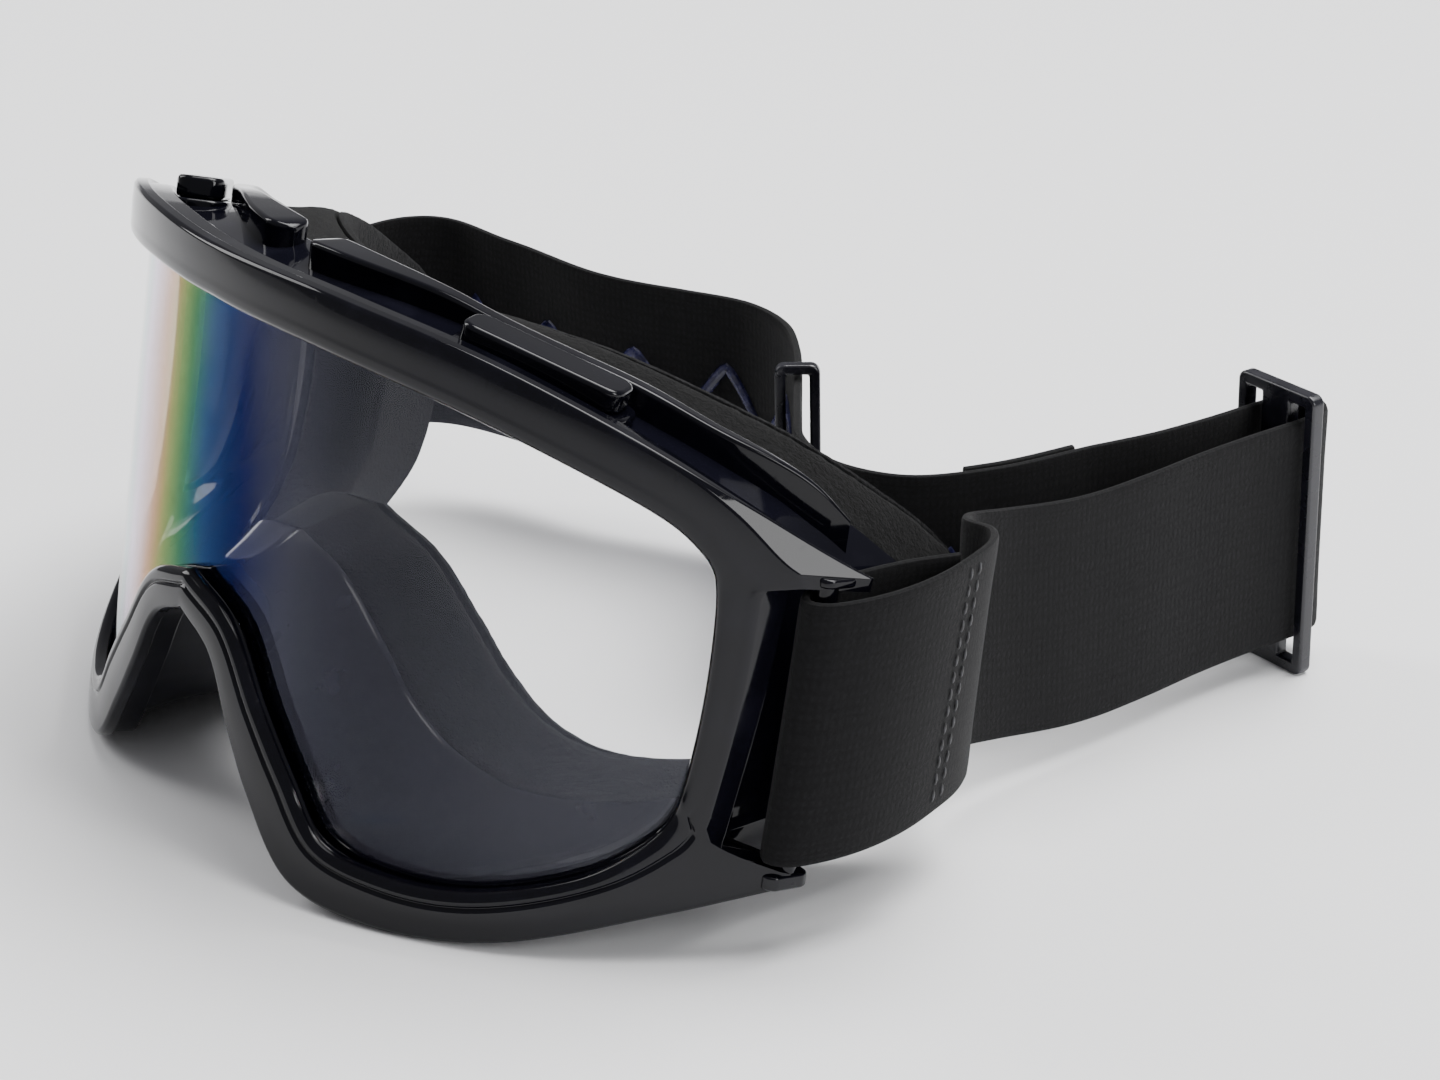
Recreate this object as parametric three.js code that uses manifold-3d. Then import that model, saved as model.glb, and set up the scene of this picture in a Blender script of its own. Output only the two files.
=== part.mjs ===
// Motorcycle goggles, folded as they lie on a table: a glossy front frame with
// strap wings, a clear wrap-round lens, a face shell with two brow ridges and
// vent caps, a foam face seal, and an elastic strap with two sliders.
// Millimetres, +Z up, the front looks along -Y, the wearer's left is +X.

import * as THREE from 'three';
import { mergeVertices } from 'three/addons/utils/BufferGeometryUtils.js';
import Module from 'manifold-3d';

const wasm = await Module();
wasm.setup();

// ---------------------------------------------------------------- dimensions

const LEAN = THREE.MathUtils.degToRad(10.9);
const FIT = 0.3;

const FRONT_RADIUS = 100.5;
const FRAME_DEPTH = 6;
const FRAME_FACE = 3;
const LENS_THICKNESS = 1.1;
const LENS_EDGE = 0.22;

const SHELL_REAR = { apex: 20.2, radius: 83 };
const FOAM_FRONT = { apex: 20.8, radius: 82.4 };
const FOAM_REAR = { apex: 34, radius: 75.8 };
const FACING_THICKNESS = 1.5;
const RIDGE = { inner: 84, outer: 87.3, start: 2.5, end: 63, swell: 3.6, swellEnd: 24 };

const CAP = { length: 26, width: 7.6, height: 3.6, corner: 2.6, angle: 34.2, ring: 89.4 };
const CAP_SLOPE = 12.5;
const FILTER = { length: 18, width: 5, height: 4 };

const BAR = { x: 86.2, y: 53.5, z: 41.6, radius: 1.7, height: 46 };
const UPPER_ARM = { size: [4.8, 6.4, 1.4], at: [86, 54.6, 64.6] };
const LOWER_ARM = { size: [6.4, 7.6, 2.2], at: [85.2, 53.1, 19.1] };
const STRAP = { width: 39.5, thickness: 1.5 };
const THREAD = 0.5;
const GRIP = { width: 2, thickness: 0.5, swing: 11 };

// Places along the two strap routes, as shares of their length.
const STRAP_STEPS = { left: 110, right: 116 };
const SEAM = { left: 0.268, right: 0.742, run: 0.006, margin: 2 };
const END_SEAM = { at: 0.072, run: 0.005 };
const STRAP_END = { from: 0.01, to: 0.085, steps: 8 };
const GRIP_LEFT = { from: 0.39, to: 0.66, turns: 3 };
const GRIP_RIGHT = { from: 0.1, to: 0.66, turns: 8 };

const SLIDER = { height: 50, bar: 2.6, wall: 2.2, slot: 3.4, gap: 9.8, x: 60.1, y: 178 };
const SIDE_SLIDER = {
  height: 44.4, bar: 2.2, wall: 1.8, slot: 4, x: 5, y: 120.6, z: 25.2, turn: 53,
};
const SLIDER_CORNER = 1.6;
const LOBE_FOOT = -3.05;

// --------------------------------------------------------------- materials

const material = (color, roughness, extra = {}) => {
  return new THREE.MeshStandardMaterial({ color, roughness, metalness: 0, ...extra });
};

const glossBlack = material(0x0b0b12, 0.12);
const satinBlack = material(0x101018, 0.3);
const clearLens = material(0xdfe6ee, 0.05, { transparent: true, opacity: 0.3 });
const foamBlack = material(0x161616, 1);
const fleeceBlack = material(0x1d1d1e, 1);
const webbingBlack = material(0x131315, 0.9);
const threadBlack = material(0x202022, 0.8);
const siliconeBlue = material(0x1c1c30, 0.35);

// -------------------------------------------------------------- small tools

// Places a point that is `depth` behind the front cylinder, above x on it.
function onFront(x, z, depth) {
  const angle = Math.asin(x / FRONT_RADIUS);
  const r = FRONT_RADIUS - depth;
  return new THREE.Vector3(r * Math.sin(angle), FRONT_RADIUS - r * Math.cos(angle), z);
}

// Places a point by its angle round the front cylinder's axis.
function onAngle(degrees, r, z) {
  const angle = THREE.MathUtils.degToRad(degrees);
  return new THREE.Vector3(r * Math.sin(angle), FRONT_RADIUS - r * Math.cos(angle), z);
}

// Places a point by its angle round the axis of the face shell's rear edge.
function onFace(degrees, r, z) {
  const angle = THREE.MathUtils.degToRad(degrees);
  const centre = SHELL_REAR.apex + SHELL_REAR.radius;
  return new THREE.Vector3(r * Math.sin(angle), centre - r * Math.cos(angle), z);
}

// Places a point on an arc in plan whose apex is on the centre line.
function onArc(x, z, arc) {
  return new THREE.Vector3(x, arc.apex + arc.radius - Math.sqrt(arc.radius ** 2 - x * x), z);
}

// Gives a geometry's grid of vertices new places and turns its faces outwards.
function warp(geometry, place) {
  geometry.deleteAttribute('normal');
  geometry.deleteAttribute('uv');
  const position = geometry.attributes.position;
  for (let i = 0; i < position.count; i += 1) {
    const p = place(new THREE.Vector3().fromBufferAttribute(position, i), i);
    position.setXYZ(i, p.x, p.y, p.z);
  }
  const solid = mergeVertices(geometry, 1e-4);
  return volume(solid) < 0 ? flipped(solid) : solid;
}

function volume(geometry) {
  const p = geometry.attributes.position;
  const index = geometry.index;
  const corner = [new THREE.Vector3(), new THREE.Vector3(), new THREE.Vector3()];
  let sum = 0;
  for (let i = 0; i < index.count; i += 3) {
    corner.forEach((v, k) => v.fromBufferAttribute(p, index.getX(i + k)));
    sum += corner[0].dot(corner[1].clone().cross(corner[2])) / 6;
  }
  return sum;
}

function flipped(geometry) {
  const index = geometry.index;
  for (let i = 0; i < index.count; i += 3) {
    const first = index.getX(i);
    index.setX(i, index.getX(i + 1));
    index.setX(i + 1, first);
  }
  return geometry;
}

// A copy with places only and its shared vertices merged.
function welded(geometry) {
  const plain = geometry.clone();
  plain.deleteAttribute('normal');
  plain.deleteAttribute('uv');
  return mergeVertices(plain, 1e-4);
}

function toManifold(geometry) {
  const plain = welded(geometry);
  return new wasm.Manifold(new wasm.Mesh({
    numProp: 3,
    vertProperties: new Float32Array(plain.attributes.position.array),
    triVerts: new Uint32Array(plain.index.array),
  }));
}

function toGeometry(manifold) {
  const mesh = manifold.getMesh();
  const geometry = new THREE.BufferGeometry();
  geometry.setAttribute('position', new THREE.BufferAttribute(mesh.vertProperties, 3));
  geometry.setIndex(new THREE.BufferAttribute(mesh.triVerts, 1));
  return geometry;
}

function join(...geometries) {
  return toGeometry(geometries.map(toManifold).reduce((a, b) => a.add(b)));
}

function cut(base, ...tools) {
  return toGeometry(tools.map(toManifold).reduce((a, b) => a.subtract(b), toManifold(base)));
}

// Mirrors a geometry to the other side of the centre plane.
function mirrored(geometry) {
  return flipped(welded(geometry).scale(-1, 1, 1));
}

function box(width, depth, height) {
  return new THREE.BoxGeometry(width, depth, height);
}

// ------------------------------------------------------------- ring outlines

// Half outlines from the top centre, round the wearer's left, to the nose.
// All have the same stations, so a ring can run from one to another.
const HALF = {
  frameOuter: [
    [0, 91.8], [28, 91.4], [52, 88.4], [70, 81.9], [81, 74.7], [91.3, 65.2], [91.2, 63.2],
    [85.6, 63.4], [84.9, 46], [83.1, 21], [88.6, 20.3], [89.2, 18.6], [79.4, 12.1],
    [62, 2.6], [44, -0.6], [30, 1.5], [20.5, 11.8], [15, 20], [8.5, 30.5], [0, 34.5],
  ],
  frameInner: [
    [0, 83.5], [27, 82.7], [50, 79.7], [66, 74.7], [74.5, 70.2], [77.6, 66.9], [78.9, 64.5],
    [79.5, 61.5], [79.8, 45], [78.9, 29.7], [78.2, 26], [76.2, 21.8], [70.5, 15.6],
    [58, 9.5], [46, 7.9], [35, 9.6], [28, 17.5], [20.8, 26.2], [12, 36.8], [0, 41],
  ],
  shellOuter: [
    [0, 90.2], [24, 89.4], [42, 86.4], [56, 81.4], [66, 76], [73.5, 69], [76.5, 64.5],
    [78.5, 60], [79, 45], [79, 30], [78, 24], [75.5, 18.5], [70, 12.5],
    [56, 6.5], [42, 4.5], [31, 6], [22, 14], [15.5, 22], [8.5, 31.5], [0, 36],
  ],
  shellInner: [
    [0, 86], [24, 85], [42, 82], [55, 77], [62.5, 72], [68, 66.5], [70, 63],
    [71.5, 59.5], [72, 46], [70.8, 33.5], [69.5, 29.5], [67, 25.5], [62.5, 22.2],
    [54, 19.8], [45, 19.5], [36, 22.5], [28.5, 28], [21, 36], [12, 43], [0, 46],
  ],
  foamOuter: [
    [0, 84], [24, 86.2], [41, 85.2], [54, 81.2], [62.5, 76.4], [69.5, 69], [72, 64.5],
    [73.4, 60], [74, 46], [73.4, 31], [72.4, 25.5], [70, 20.5], [65, 15.5],
    [53, 10], [42, 8], [32, 10], [23.5, 17], [17, 24.5], [9.5, 33], [0, 37.5],
  ],
  foamInner: [
    [0, 80.2], [23, 80.4], [40, 78.6], [52, 74], [58.5, 69.4], [63.2, 64.2], [65.2, 61],
    [66, 58], [66.5, 47], [65.6, 37], [64.6, 33.4], [62.5, 30], [59, 27.4],
    [52, 25.4], [45, 25], [38, 27.5], [31, 33], [24, 40], [14.5, 47], [0, 50],
  ],
};
const CORNERS = [5, 6, 7, 9, 10, 11];
const STEPS = 3;

// Samples a half outline with a smooth curve between its sharp corners.
function sampleHalf(points, corners) {
  const last = points.length - 1;
  const ends = [0, ...corners, last];
  const out = [];
  for (let run = 0; run < ends.length - 1; run += 1) {
    const part = points.slice(ends[run], ends[run + 1] + 1);
    const curve = new THREE.CatmullRomCurve3(part.map(([x, z]) => new THREE.Vector3(x, 0, z)));
    const spans = part.length - 1;
    for (let i = 0; i < spans * STEPS; i += 1) {
      const p = curve.getPoint(i / (spans * STEPS));
      out.push([Math.max(p.x, 0), p.z]);
    }
  }
  out.push(points[last]);
  return out;
}

// Closes a half outline into the whole ring, with its mirror image.
function wholeRing(name, corners = []) {
  const half = sampleHalf(HALF[name], corners);
  const other = half.slice(1, -1).reverse().map(([x, z]) => [-x, z]);
  return [...half, ...other];
}

const RING = {
  frameOuter: wholeRing('frameOuter', CORNERS),
  frameInner: wholeRing('frameInner'),
  shellOuter: wholeRing('shellOuter'),
  shellInner: wholeRing('shellInner'),
  foamOuter: wholeRing('foamOuter'),
  foamInner: wholeRing('foamInner'),
};
const RING_COUNT = RING.frameOuter.length;

const blend = (a, b, t) => [a[0] + (b[0] - a[0]) * t, a[1] + (b[1] - a[1]) * t];

// Moves a point of an outline towards the middle of its eye by some millimetres.
function inset(ringPoint, towards, distance) {
  const dx = towards[0] - ringPoint[0];
  const dz = towards[1] - ringPoint[1];
  const length = Math.hypot(dx, dz);
  return [ringPoint[0] + dx * distance / length, ringPoint[1] + dz * distance / length];
}

// Sweeps a closed section, one function of the ring's station per corner.
function ringSolid(corners) {
  const geometry = new THREE.TorusGeometry(1, 0.1, corners.length, RING_COUNT);
  return warp(geometry, (p, i) => {
    const side = Math.floor(i / (RING_COUNT + 1)) % corners.length;
    const station = (i % (RING_COUNT + 1)) % RING_COUNT;
    return corners[side](station);
  });
}

// ------------------------------------------------------------------ the frame

// A point of the front frame: `across` runs from the outer edge to the opening.
const frameCorner = (across, depth) => (k) => {
  const [x, z] = blend(RING.frameOuter[k], RING.frameInner[k], across);
  return onFront(x, z, depth);
};

function frameBand() {
  return ringSolid([
    frameCorner(0.03, 0.8),
    frameCorner(0.14, 0),
    frameCorner(0.84, 0),
    frameCorner(0.97, 0.5),
    frameCorner(1, 1.4),
    frameCorner(1, FRAME_FACE - 0.6),
    frameCorner(0.9, FRAME_FACE),
    frameCorner(0.6, FRAME_FACE),
    frameCorner(0.6, FRAME_DEPTH),
    frameCorner(0.08, FRAME_DEPTH),
    frameCorner(0.06, 2.4),
    frameCorner(0, 2.2),
  ]);
}

// The upright bar that the strap's loop goes round, and the arms that carry it.
function strapBar() {
  const bar = new THREE.CylinderGeometry(BAR.radius, BAR.radius, BAR.height, 12);
  bar.rotateX(Math.PI / 2);
  bar.translate(BAR.x, BAR.y, BAR.z);
  const arms = [UPPER_ARM, LOWER_ARM].map((arm) => box(...arm.size).translate(...arm.at));
  return join(bar, ...arms);
}

function frontFrame() {
  const bar = strapBar();
  return join(frameBand(), bar, mirrored(bar));
}

// ------------------------------------------------------------------- the lens

// The lens's outline on the front cylinder, a little outside the opening.
function lensOutline() {
  return RING.frameInner.map((p, k) => blend(p, RING.frameOuter[k], LENS_EDGE));
}

// Height of the lens's upper or lower edge above a place on the front cylinder.
function edgeHeight(points, x) {
  for (let i = 0; i < points.length - 1; i += 1) {
    const [a, b] = [points[i], points[i + 1]];
    if (x >= Math.min(a[0], b[0]) && x <= Math.max(a[0], b[0]) && a[0] !== b[0]) {
      return a[1] + (b[1] - a[1]) * (x - a[0]) / (b[0] - a[0]);
    }
  }
  return points[points.length - 1][1];
}

function lens() {
  const half = lensOutline().slice(0, Math.floor(RING_COUNT / 2) + 1);
  const widest = half.reduce((best, p, i) => (p[0] > half[best][0] ? i : best), 0);
  const upper = half.slice(0, widest + 1);
  const lower = half.slice(widest);
  const reach = half[widest][0] - 0.3;
  const near = FRAME_FACE + FIT;
  const geometry = new THREE.BoxGeometry(1, 1, 1, 64, 1, 6);
  return warp(geometry, (p) => {
    const x = Math.sin(p.x * Math.PI) * reach;
    const top = edgeHeight(upper, Math.abs(x));
    const bottom = edgeHeight(lower, Math.abs(x));
    const z = bottom + (top - bottom) * (p.z + 0.5);
    return onFront(x, z, near + (p.y + 0.5) * LENS_THICKNESS);
  });
}

// -------------------------------------------------------------- the face shell

// Corners of the shell: its front edge follows the frame, its rear edge the face.
const shellFront = (across, depth) => (k) => {
  const [x, z] = blend(RING.frameOuter[k], RING.frameInner[k], across);
  const side = Math.min(Math.abs(x), 83);
  return onFront(Math.sign(x) * side, z, depth);
};
const shellRear = (name, back) => (k) => {
  const p = onArc(...RING[name][k], SHELL_REAR);
  p.y += back;
  return p;
};

function shellBody() {
  const seat = FRAME_FACE + LENS_THICKNESS + 2 * FIT;
  return ringSolid([
    shellFront(0.34, FRAME_DEPTH + FIT),
    shellFront(0.66, FRAME_DEPTH + FIT),
    shellFront(0.72, seat),
    shellFront(0.95, seat),
    shellFront(0.97, seat + 1),
    shellRear('shellInner', -1.2),
    shellRear('shellInner', 0),
    shellRear('shellOuter', 0),
    shellRear('shellOuter', -3),
  ]);
}

const smooth = THREE.MathUtils.smoothstep;

// Height of a brow ridge's top, and of the channel floor in front of it.
const ridgeCurve = new THREE.CatmullRomCurve3([
  [0, 93.6], [9, 93.4], [19, 92.2], [26, 90.2], [41, 85.4], [49, 81], [55, 77.6], [59, 74.5],
  [63.5, 68.6],
].map(([angle, z]) => new THREE.Vector3(angle, z, 0)));

function ridgeTop(angle) {
  const steps = 60;
  for (let i = 1; i <= steps; i += 1) {
    const b = ridgeCurve.getPoint(i / steps);
    if (b.x >= angle) {
      const a = ridgeCurve.getPoint((i - 1) / steps);
      return a.y + (b.y - a.y) * (angle - a.x) / (b.x - a.x);
    }
  }
  return ridgeCurve.getPoint(1).y;
}

// A raised wall along the brow, thick and blunt near the middle and pointed at the temple.
function browRidge() {
  const geometry = new THREE.BoxGeometry(1, 1, 1, 24, 2, 2);
  return warp(geometry, (p) => {
    const t = p.x + 0.5;
    const angle = RIDGE.start + (RIDGE.end - RIDGE.start) * t;
    const taper = t > 0.8 ? 1 - 0.8 * (t - 0.8) / 0.2 : 1;
    const front = RIDGE.outer + RIDGE.swell * (1 - smooth(angle, RIDGE.start, RIDGE.swellEnd));
    const middle = (RIDGE.inner + front) / 2;
    const crown = p.z > 0.4 && Math.abs(p.y) > 0.4 ? 0.7 : 0;
    const r = middle - p.y * (front - RIDGE.inner) * taper;
    const top = ridgeTop(angle) - crown;
    const foot = ridgeTop(angle) - 12 + 6 * t;
    return onFace(angle, r, foot + (top - foot) * (p.z + 0.5));
  });
}

// Places something on the brow channel above one eye, square to the frame.
function onChannel(geometry, side, lift) {
  const turned = geometry.clone();
  turned.rotateY(THREE.MathUtils.degToRad(CAP_SLOPE));
  turned.rotateZ(THREE.MathUtils.degToRad(CAP.angle));
  const at = onAngle(CAP.angle, CAP.ring, ridgeTop(CAP.angle) + lift);
  turned.translate(at.x, at.y, at.z);
  return side < 0 ? mirrored(turned) : turned;
}

function faceShell() {
  const ridge = browRidge();
  const slots = [1, -1].map((side) => {
    return onChannel(box(FILTER.length + 2 * FIT, FILTER.width + 2 * FIT, 14), side, -7);
  });
  return cut(join(shellBody(), ridge, mirrored(ridge)), ...slots);
}

// ------------------------------------------------------------------- the vents

function roundedPlate(length, width, corner, height) {
  const shape = new THREE.Shape();
  const x = length / 2;
  const y = width / 2;
  shape.moveTo(-x + corner, -y);
  shape.lineTo(x - corner, -y);
  shape.absarc(x - corner, -y + corner, corner, -Math.PI / 2, 0);
  shape.lineTo(x, y - corner);
  shape.absarc(x - corner, y - corner, corner, 0, Math.PI / 2);
  shape.lineTo(-x + corner, y);
  shape.absarc(-x + corner, y - corner, corner, Math.PI / 2, Math.PI);
  shape.lineTo(-x, -y + corner);
  shape.absarc(-x + corner, -y + corner, corner, Math.PI, Math.PI * 1.5);
  const options = {
    depth: height - 1.2, curveSegments: 4, bevelThickness: 0.6, bevelSize: 0.6,
    bevelOffset: -0.6, bevelSegments: 2,
  };
  const plate = new THREE.ExtrudeGeometry(shape, options);
  plate.translate(0, 0, 0.6 - height);
  return plate;
}

function ventCap(side) {
  return onChannel(roundedPlate(CAP.length, CAP.width, CAP.corner, CAP.height), side, 0.9);
}

function ventFilter(side) {
  return onChannel(box(FILTER.length, FILTER.width, FILTER.height), side, -6.4);
}

// --------------------------------------------------------------- the face seal

const sealCorner = (outer, t, arc, back) => (k) => {
  const [x, z] = blend(RING[outer ? 'foamOuter' : 'foamInner'][k],
    RING[outer ? 'foamInner' : 'foamOuter'][k], t);
  const p = onArc(x, z, arc);
  p.y += back;
  return p;
};

const foamFront = (name, partner, step) => (k) => {
  const [x, z] = inset(RING[name][k], RING[partner][k], step);
  return onArc(x, z, FOAM_FRONT);
};

function faceFoam() {
  return ringSolid([
    foamFront('shellOuter', 'shellInner', 0.8),
    sealCorner(true, 0, FOAM_REAR, -3),
    sealCorner(true, 0.1, FOAM_REAR, 0),
    sealCorner(false, 0.1, FOAM_REAR, 0),
    sealCorner(false, 0, FOAM_REAR, -3),
    foamFront('shellInner', 'shellOuter', 0.4),
  ]);
}

function foamFacing() {
  return ringSolid([
    sealCorner(true, 0.1, FOAM_REAR, 0.4),
    sealCorner(true, 0.14, FOAM_REAR, 0.4 + FACING_THICKNESS),
    sealCorner(false, 0.14, FOAM_REAR, 0.4 + FACING_THICKNESS),
    sealCorner(false, 0.1, FOAM_REAR, 0.4),
  ]);
}

// ------------------------------------------------------------------- the strap

// Where each strap runs in plan, along its lower edge. A wing loop starts at its
// sewn tail, goes forward inside, round the wing bar and back outside.
const LOOP = [
  [86.9, 80], [84.4, 73], [83, 65], [82.9, 58.4], [84.2, 54.3], [86.4, 53.1], [88.9, 54.6],
  [90.8, 59.5], [91.6, 66], [91, 73], [89.1, 80],
];
const NEAR_STRAND = [
  [85.6, 88], [80, 94.5], [73, 98], [69.2, 103], [67.6, 112], [67.2, 128], [66.4, 145],
  [65.4, 156], [65, 166], [65, 174], [64.9, 180],
];
const HAIRPIN = [
  [63.8, 184.3], [60.1, 186.4], [56.4, 184.3], [55.3, 180], [55.2, 174], [55.1, 166],
  [54.4, 156], [53, 148],
];
const FAR_STRAND = [
  [52.2, 144], [50, 126], [44.5, 112], [34, 106], [24, 107.2], [15, 113], [-5, 128], [-15, 133],
  [-26, 133.4], [-38, 128], [-54, 120], [-74, 114], [-86, 106], [-90.6, 95], [-90.6, 87],
];
const FAR_LOOP = LOOP.map(([x, y]) => [-x, y]).reverse();

// Height of each strap's lower edge, and how far its upper edge lies back.
const FOOT = { bar: 11.9, slider: 2.6, far: 7 };
const LOOP_TILT = 8;
const mix = (a, b, t) => a + (b - a) * smooth(t, 0, 1);

const leftRoute = {
  points: [...LOOP, ...NEAR_STRAND, ...HAIRPIN],
  foot: (t) => mix(FOOT.bar, FOOT.slider, (t - 0.27) / 0.3),
  tilt: (t) => mix(LOOP_TILT, 0, (t - 0.27) / 0.2),
};
const rightRoute = {
  points: [...FAR_STRAND, ...FAR_LOOP],
  foot: (t) => mix(FOOT.slider, FOOT.far, t / 0.5) + mix(0, FOOT.bar - FOOT.far, (t - 0.5) / 0.25),
  tilt: (t) => mix(0, LOOP_TILT, (t - 0.62) / 0.12),
};
[leftRoute, rightRoute].forEach((route) => {
  route.curve = new THREE.CatmullRomCurve3(
    route.points.map(([x, y]) => new THREE.Vector3(x, y, 0)),
  );
});

// A point on a strap: `t` along it, `up` from its lower edge, `out` to its left.
function onStrap(route, t, up, out) {
  const at = route.curve.getPointAt(t);
  const along = route.curve.getTangentAt(t);
  const lean = route.tilt(t) * up / STRAP.width;
  const x = at.x - along.y * out;
  const y = at.y + lean + along.x * out;
  return new THREE.Vector3(x, y, route.foot(t) + up);
}

// A ribbon on a strap's route: from one place along it to another, with the
// height of its lower edge as a function of the place.
function ribbon(route, from, to, low, high, out, thickness, steps) {
  const geometry = new THREE.BoxGeometry(1, 1, 1, steps, 1, 1);
  return warp(geometry, (p) => {
    const t = from + (to - from) * (p.x + 0.5);
    const bottom = low(p.x + 0.5);
    const top = high(p.x + 0.5);
    return onStrap(route, t, bottom + (top - bottom) * (p.z + 0.5), out + p.y * thickness);
  });
}

const always = (value) => () => value;

function strap(route, steps) {
  return ribbon(route, 0, 1, always(0), always(STRAP.width), 0, STRAP.thickness, steps);
}

// A row of stitches across the strap, on its outer face.
function seamThread(route, t, run, out) {
  const high = always(STRAP.width - SEAM.margin);
  return ribbon(route, t, t + run, always(SEAM.margin), high, out, THREAD, 1);
}

// The raised silicone line that keeps the strap from slipping: a zigzag.
function gripLine(route, { from, to, turns }) {
  const out = STRAP.thickness / 2 + FIT + GRIP.thickness / 2;
  const wave = (s) => Math.abs(((s * turns) % 1) * 2 - 1) * GRIP.swing;
  const low = (s) => STRAP.width / 2 - GRIP.swing / 2 + wave(s);
  const high = (s) => low(s) + GRIP.width;
  return ribbon(route, from, to, low, high, out, GRIP.thickness, turns * 4);
}

// The strap's free end, folded back and sewn behind the far strand.
function strapEnd() {
  const out = -(STRAP.thickness + FIT);
  const { from, to, steps } = STRAP_END;
  return ribbon(rightRoute, from, to, always(0), always(STRAP.width), out, STRAP.thickness, steps);
}

// A flat upright plate with rounded corners, the strap running through along Y.
function sliderPlate(width, height, thickness) {
  const plate = roundedPlate(width, height, SLIDER_CORNER, thickness);
  plate.translate(0, 0, thickness / 2);
  plate.rotateX(Math.PI / 2);
  return plate;
}

// A three-bar slider: two slots for the strap's two layers, one bar between.
function threeBarSlider(size) {
  const plate = sliderPlate(size.gap + size.slot + 2 * size.wall, size.height, size.bar);
  const slots = [-1, 1].map((side) => {
    const slot = box(size.slot, size.bar * 2, size.height - 2 * size.wall);
    return slot.translate(side * size.gap / 2, 0, 0);
  });
  return cut(plate, ...slots);
}

// A two-bar slider: a flat ring that one layer of strap runs through.
function twoBarSlider(size) {
  const plate = sliderPlate(size.slot + 2 * size.wall, size.height, size.bar);
  return cut(plate, box(size.slot, size.bar * 2, size.height - 2 * size.wall));
}

// --------------------------------------------------------------- the assembly

function piece(name, geometry, finish) {
  const mesh = new THREE.Mesh(geometry, finish);
  mesh.name = name;
  return mesh;
}

// The rigid goggles, built upright and then leaned back on the strap.
function goggleBody() {
  const group = new THREE.Group();
  group.add(piece('front_frame', frontFrame(), glossBlack));
  group.add(piece('lens', lens(), clearLens));
  group.add(piece('face_shell', faceShell(), glossBlack));
  group.add(piece('face_foam', faceFoam(), foamBlack));
  group.add(piece('foam_facing', foamFacing(), fleeceBlack));
  group.add(piece('vent_cap_left', ventCap(1), glossBlack));
  group.add(piece('vent_cap_right', ventCap(-1), glossBlack));
  group.add(piece('vent_filter_left', ventFilter(1), foamBlack));
  group.add(piece('vent_filter_right', ventFilter(-1), foamBlack));
  group.rotation.x = -LEAN;
  return group;
}

function strapAssembly() {
  const group = new THREE.Group();
  const onBand = -(STRAP.thickness / 2 + FIT + THREAD / 2);
  const onEnd = onBand - STRAP.thickness - FIT;
  const leftSeam = seamThread(leftRoute, SEAM.left, SEAM.run, onBand);
  const rightSeam = seamThread(rightRoute, SEAM.right, SEAM.run, onBand);
  const endSeam = seamThread(rightRoute, END_SEAM.at, END_SEAM.run, onEnd);
  group.add(piece('strap_left', strap(leftRoute, STRAP_STEPS.left), webbingBlack));
  group.add(piece('strap_right', strap(rightRoute, STRAP_STEPS.right), webbingBlack));
  group.add(piece('seam_thread_left', leftSeam, threadBlack));
  group.add(piece('seam_thread_right', rightSeam, threadBlack));
  group.add(piece('grip_line_left', gripLine(leftRoute, GRIP_LEFT), siliconeBlue));
  group.add(piece('grip_line_right', gripLine(rightRoute, GRIP_RIGHT), siliconeBlue));
  group.add(piece('strap_end', strapEnd(), webbingBlack));
  group.add(piece('end_thread', endSeam, threadBlack));
  const rear = piece('slider_rear', threeBarSlider(SLIDER), satinBlack);
  rear.position.set(SLIDER.x, SLIDER.y, SLIDER.height / 2 + LOBE_FOOT);
  group.add(rear);
  const side = piece('slider_side', twoBarSlider(SIDE_SLIDER), satinBlack);
  side.position.set(SIDE_SLIDER.x, SIDE_SLIDER.y, SIDE_SLIDER.z);
  side.rotation.z = THREE.MathUtils.degToRad(SIDE_SLIDER.turn);
  group.add(side);
  return group;
}

const goggles = new THREE.Group();
goggles.add(goggleBody());
goggles.add(strapAssembly());

// The origin is under the middle of the goggles, on the table they lie on.
const bounds = new THREE.Box3().setFromObject(goggles, true);
const middle = bounds.getCenter(new THREE.Vector3());
goggles.position.set(-middle.x, -middle.y, -bounds.min.z);

export default goggles;
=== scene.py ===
"""Motorcycle goggles lying on a table, with their strap folded behind them.

A glossy front frame with strap wings holds a clear wrap-round lens. A face
shell with two brow ridges and two vent caps sits behind it, then a foam face
seal, and an elastic strap with two sliders runs round the back. Each class
below builds one sub-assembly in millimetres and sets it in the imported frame.
"""

import logging
import math
from collections.abc import Callable, Sequence
from dataclasses import dataclass, field
from enum import Enum

import bmesh
import bpy
from mathutils import Matrix, Vector, noise


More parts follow.
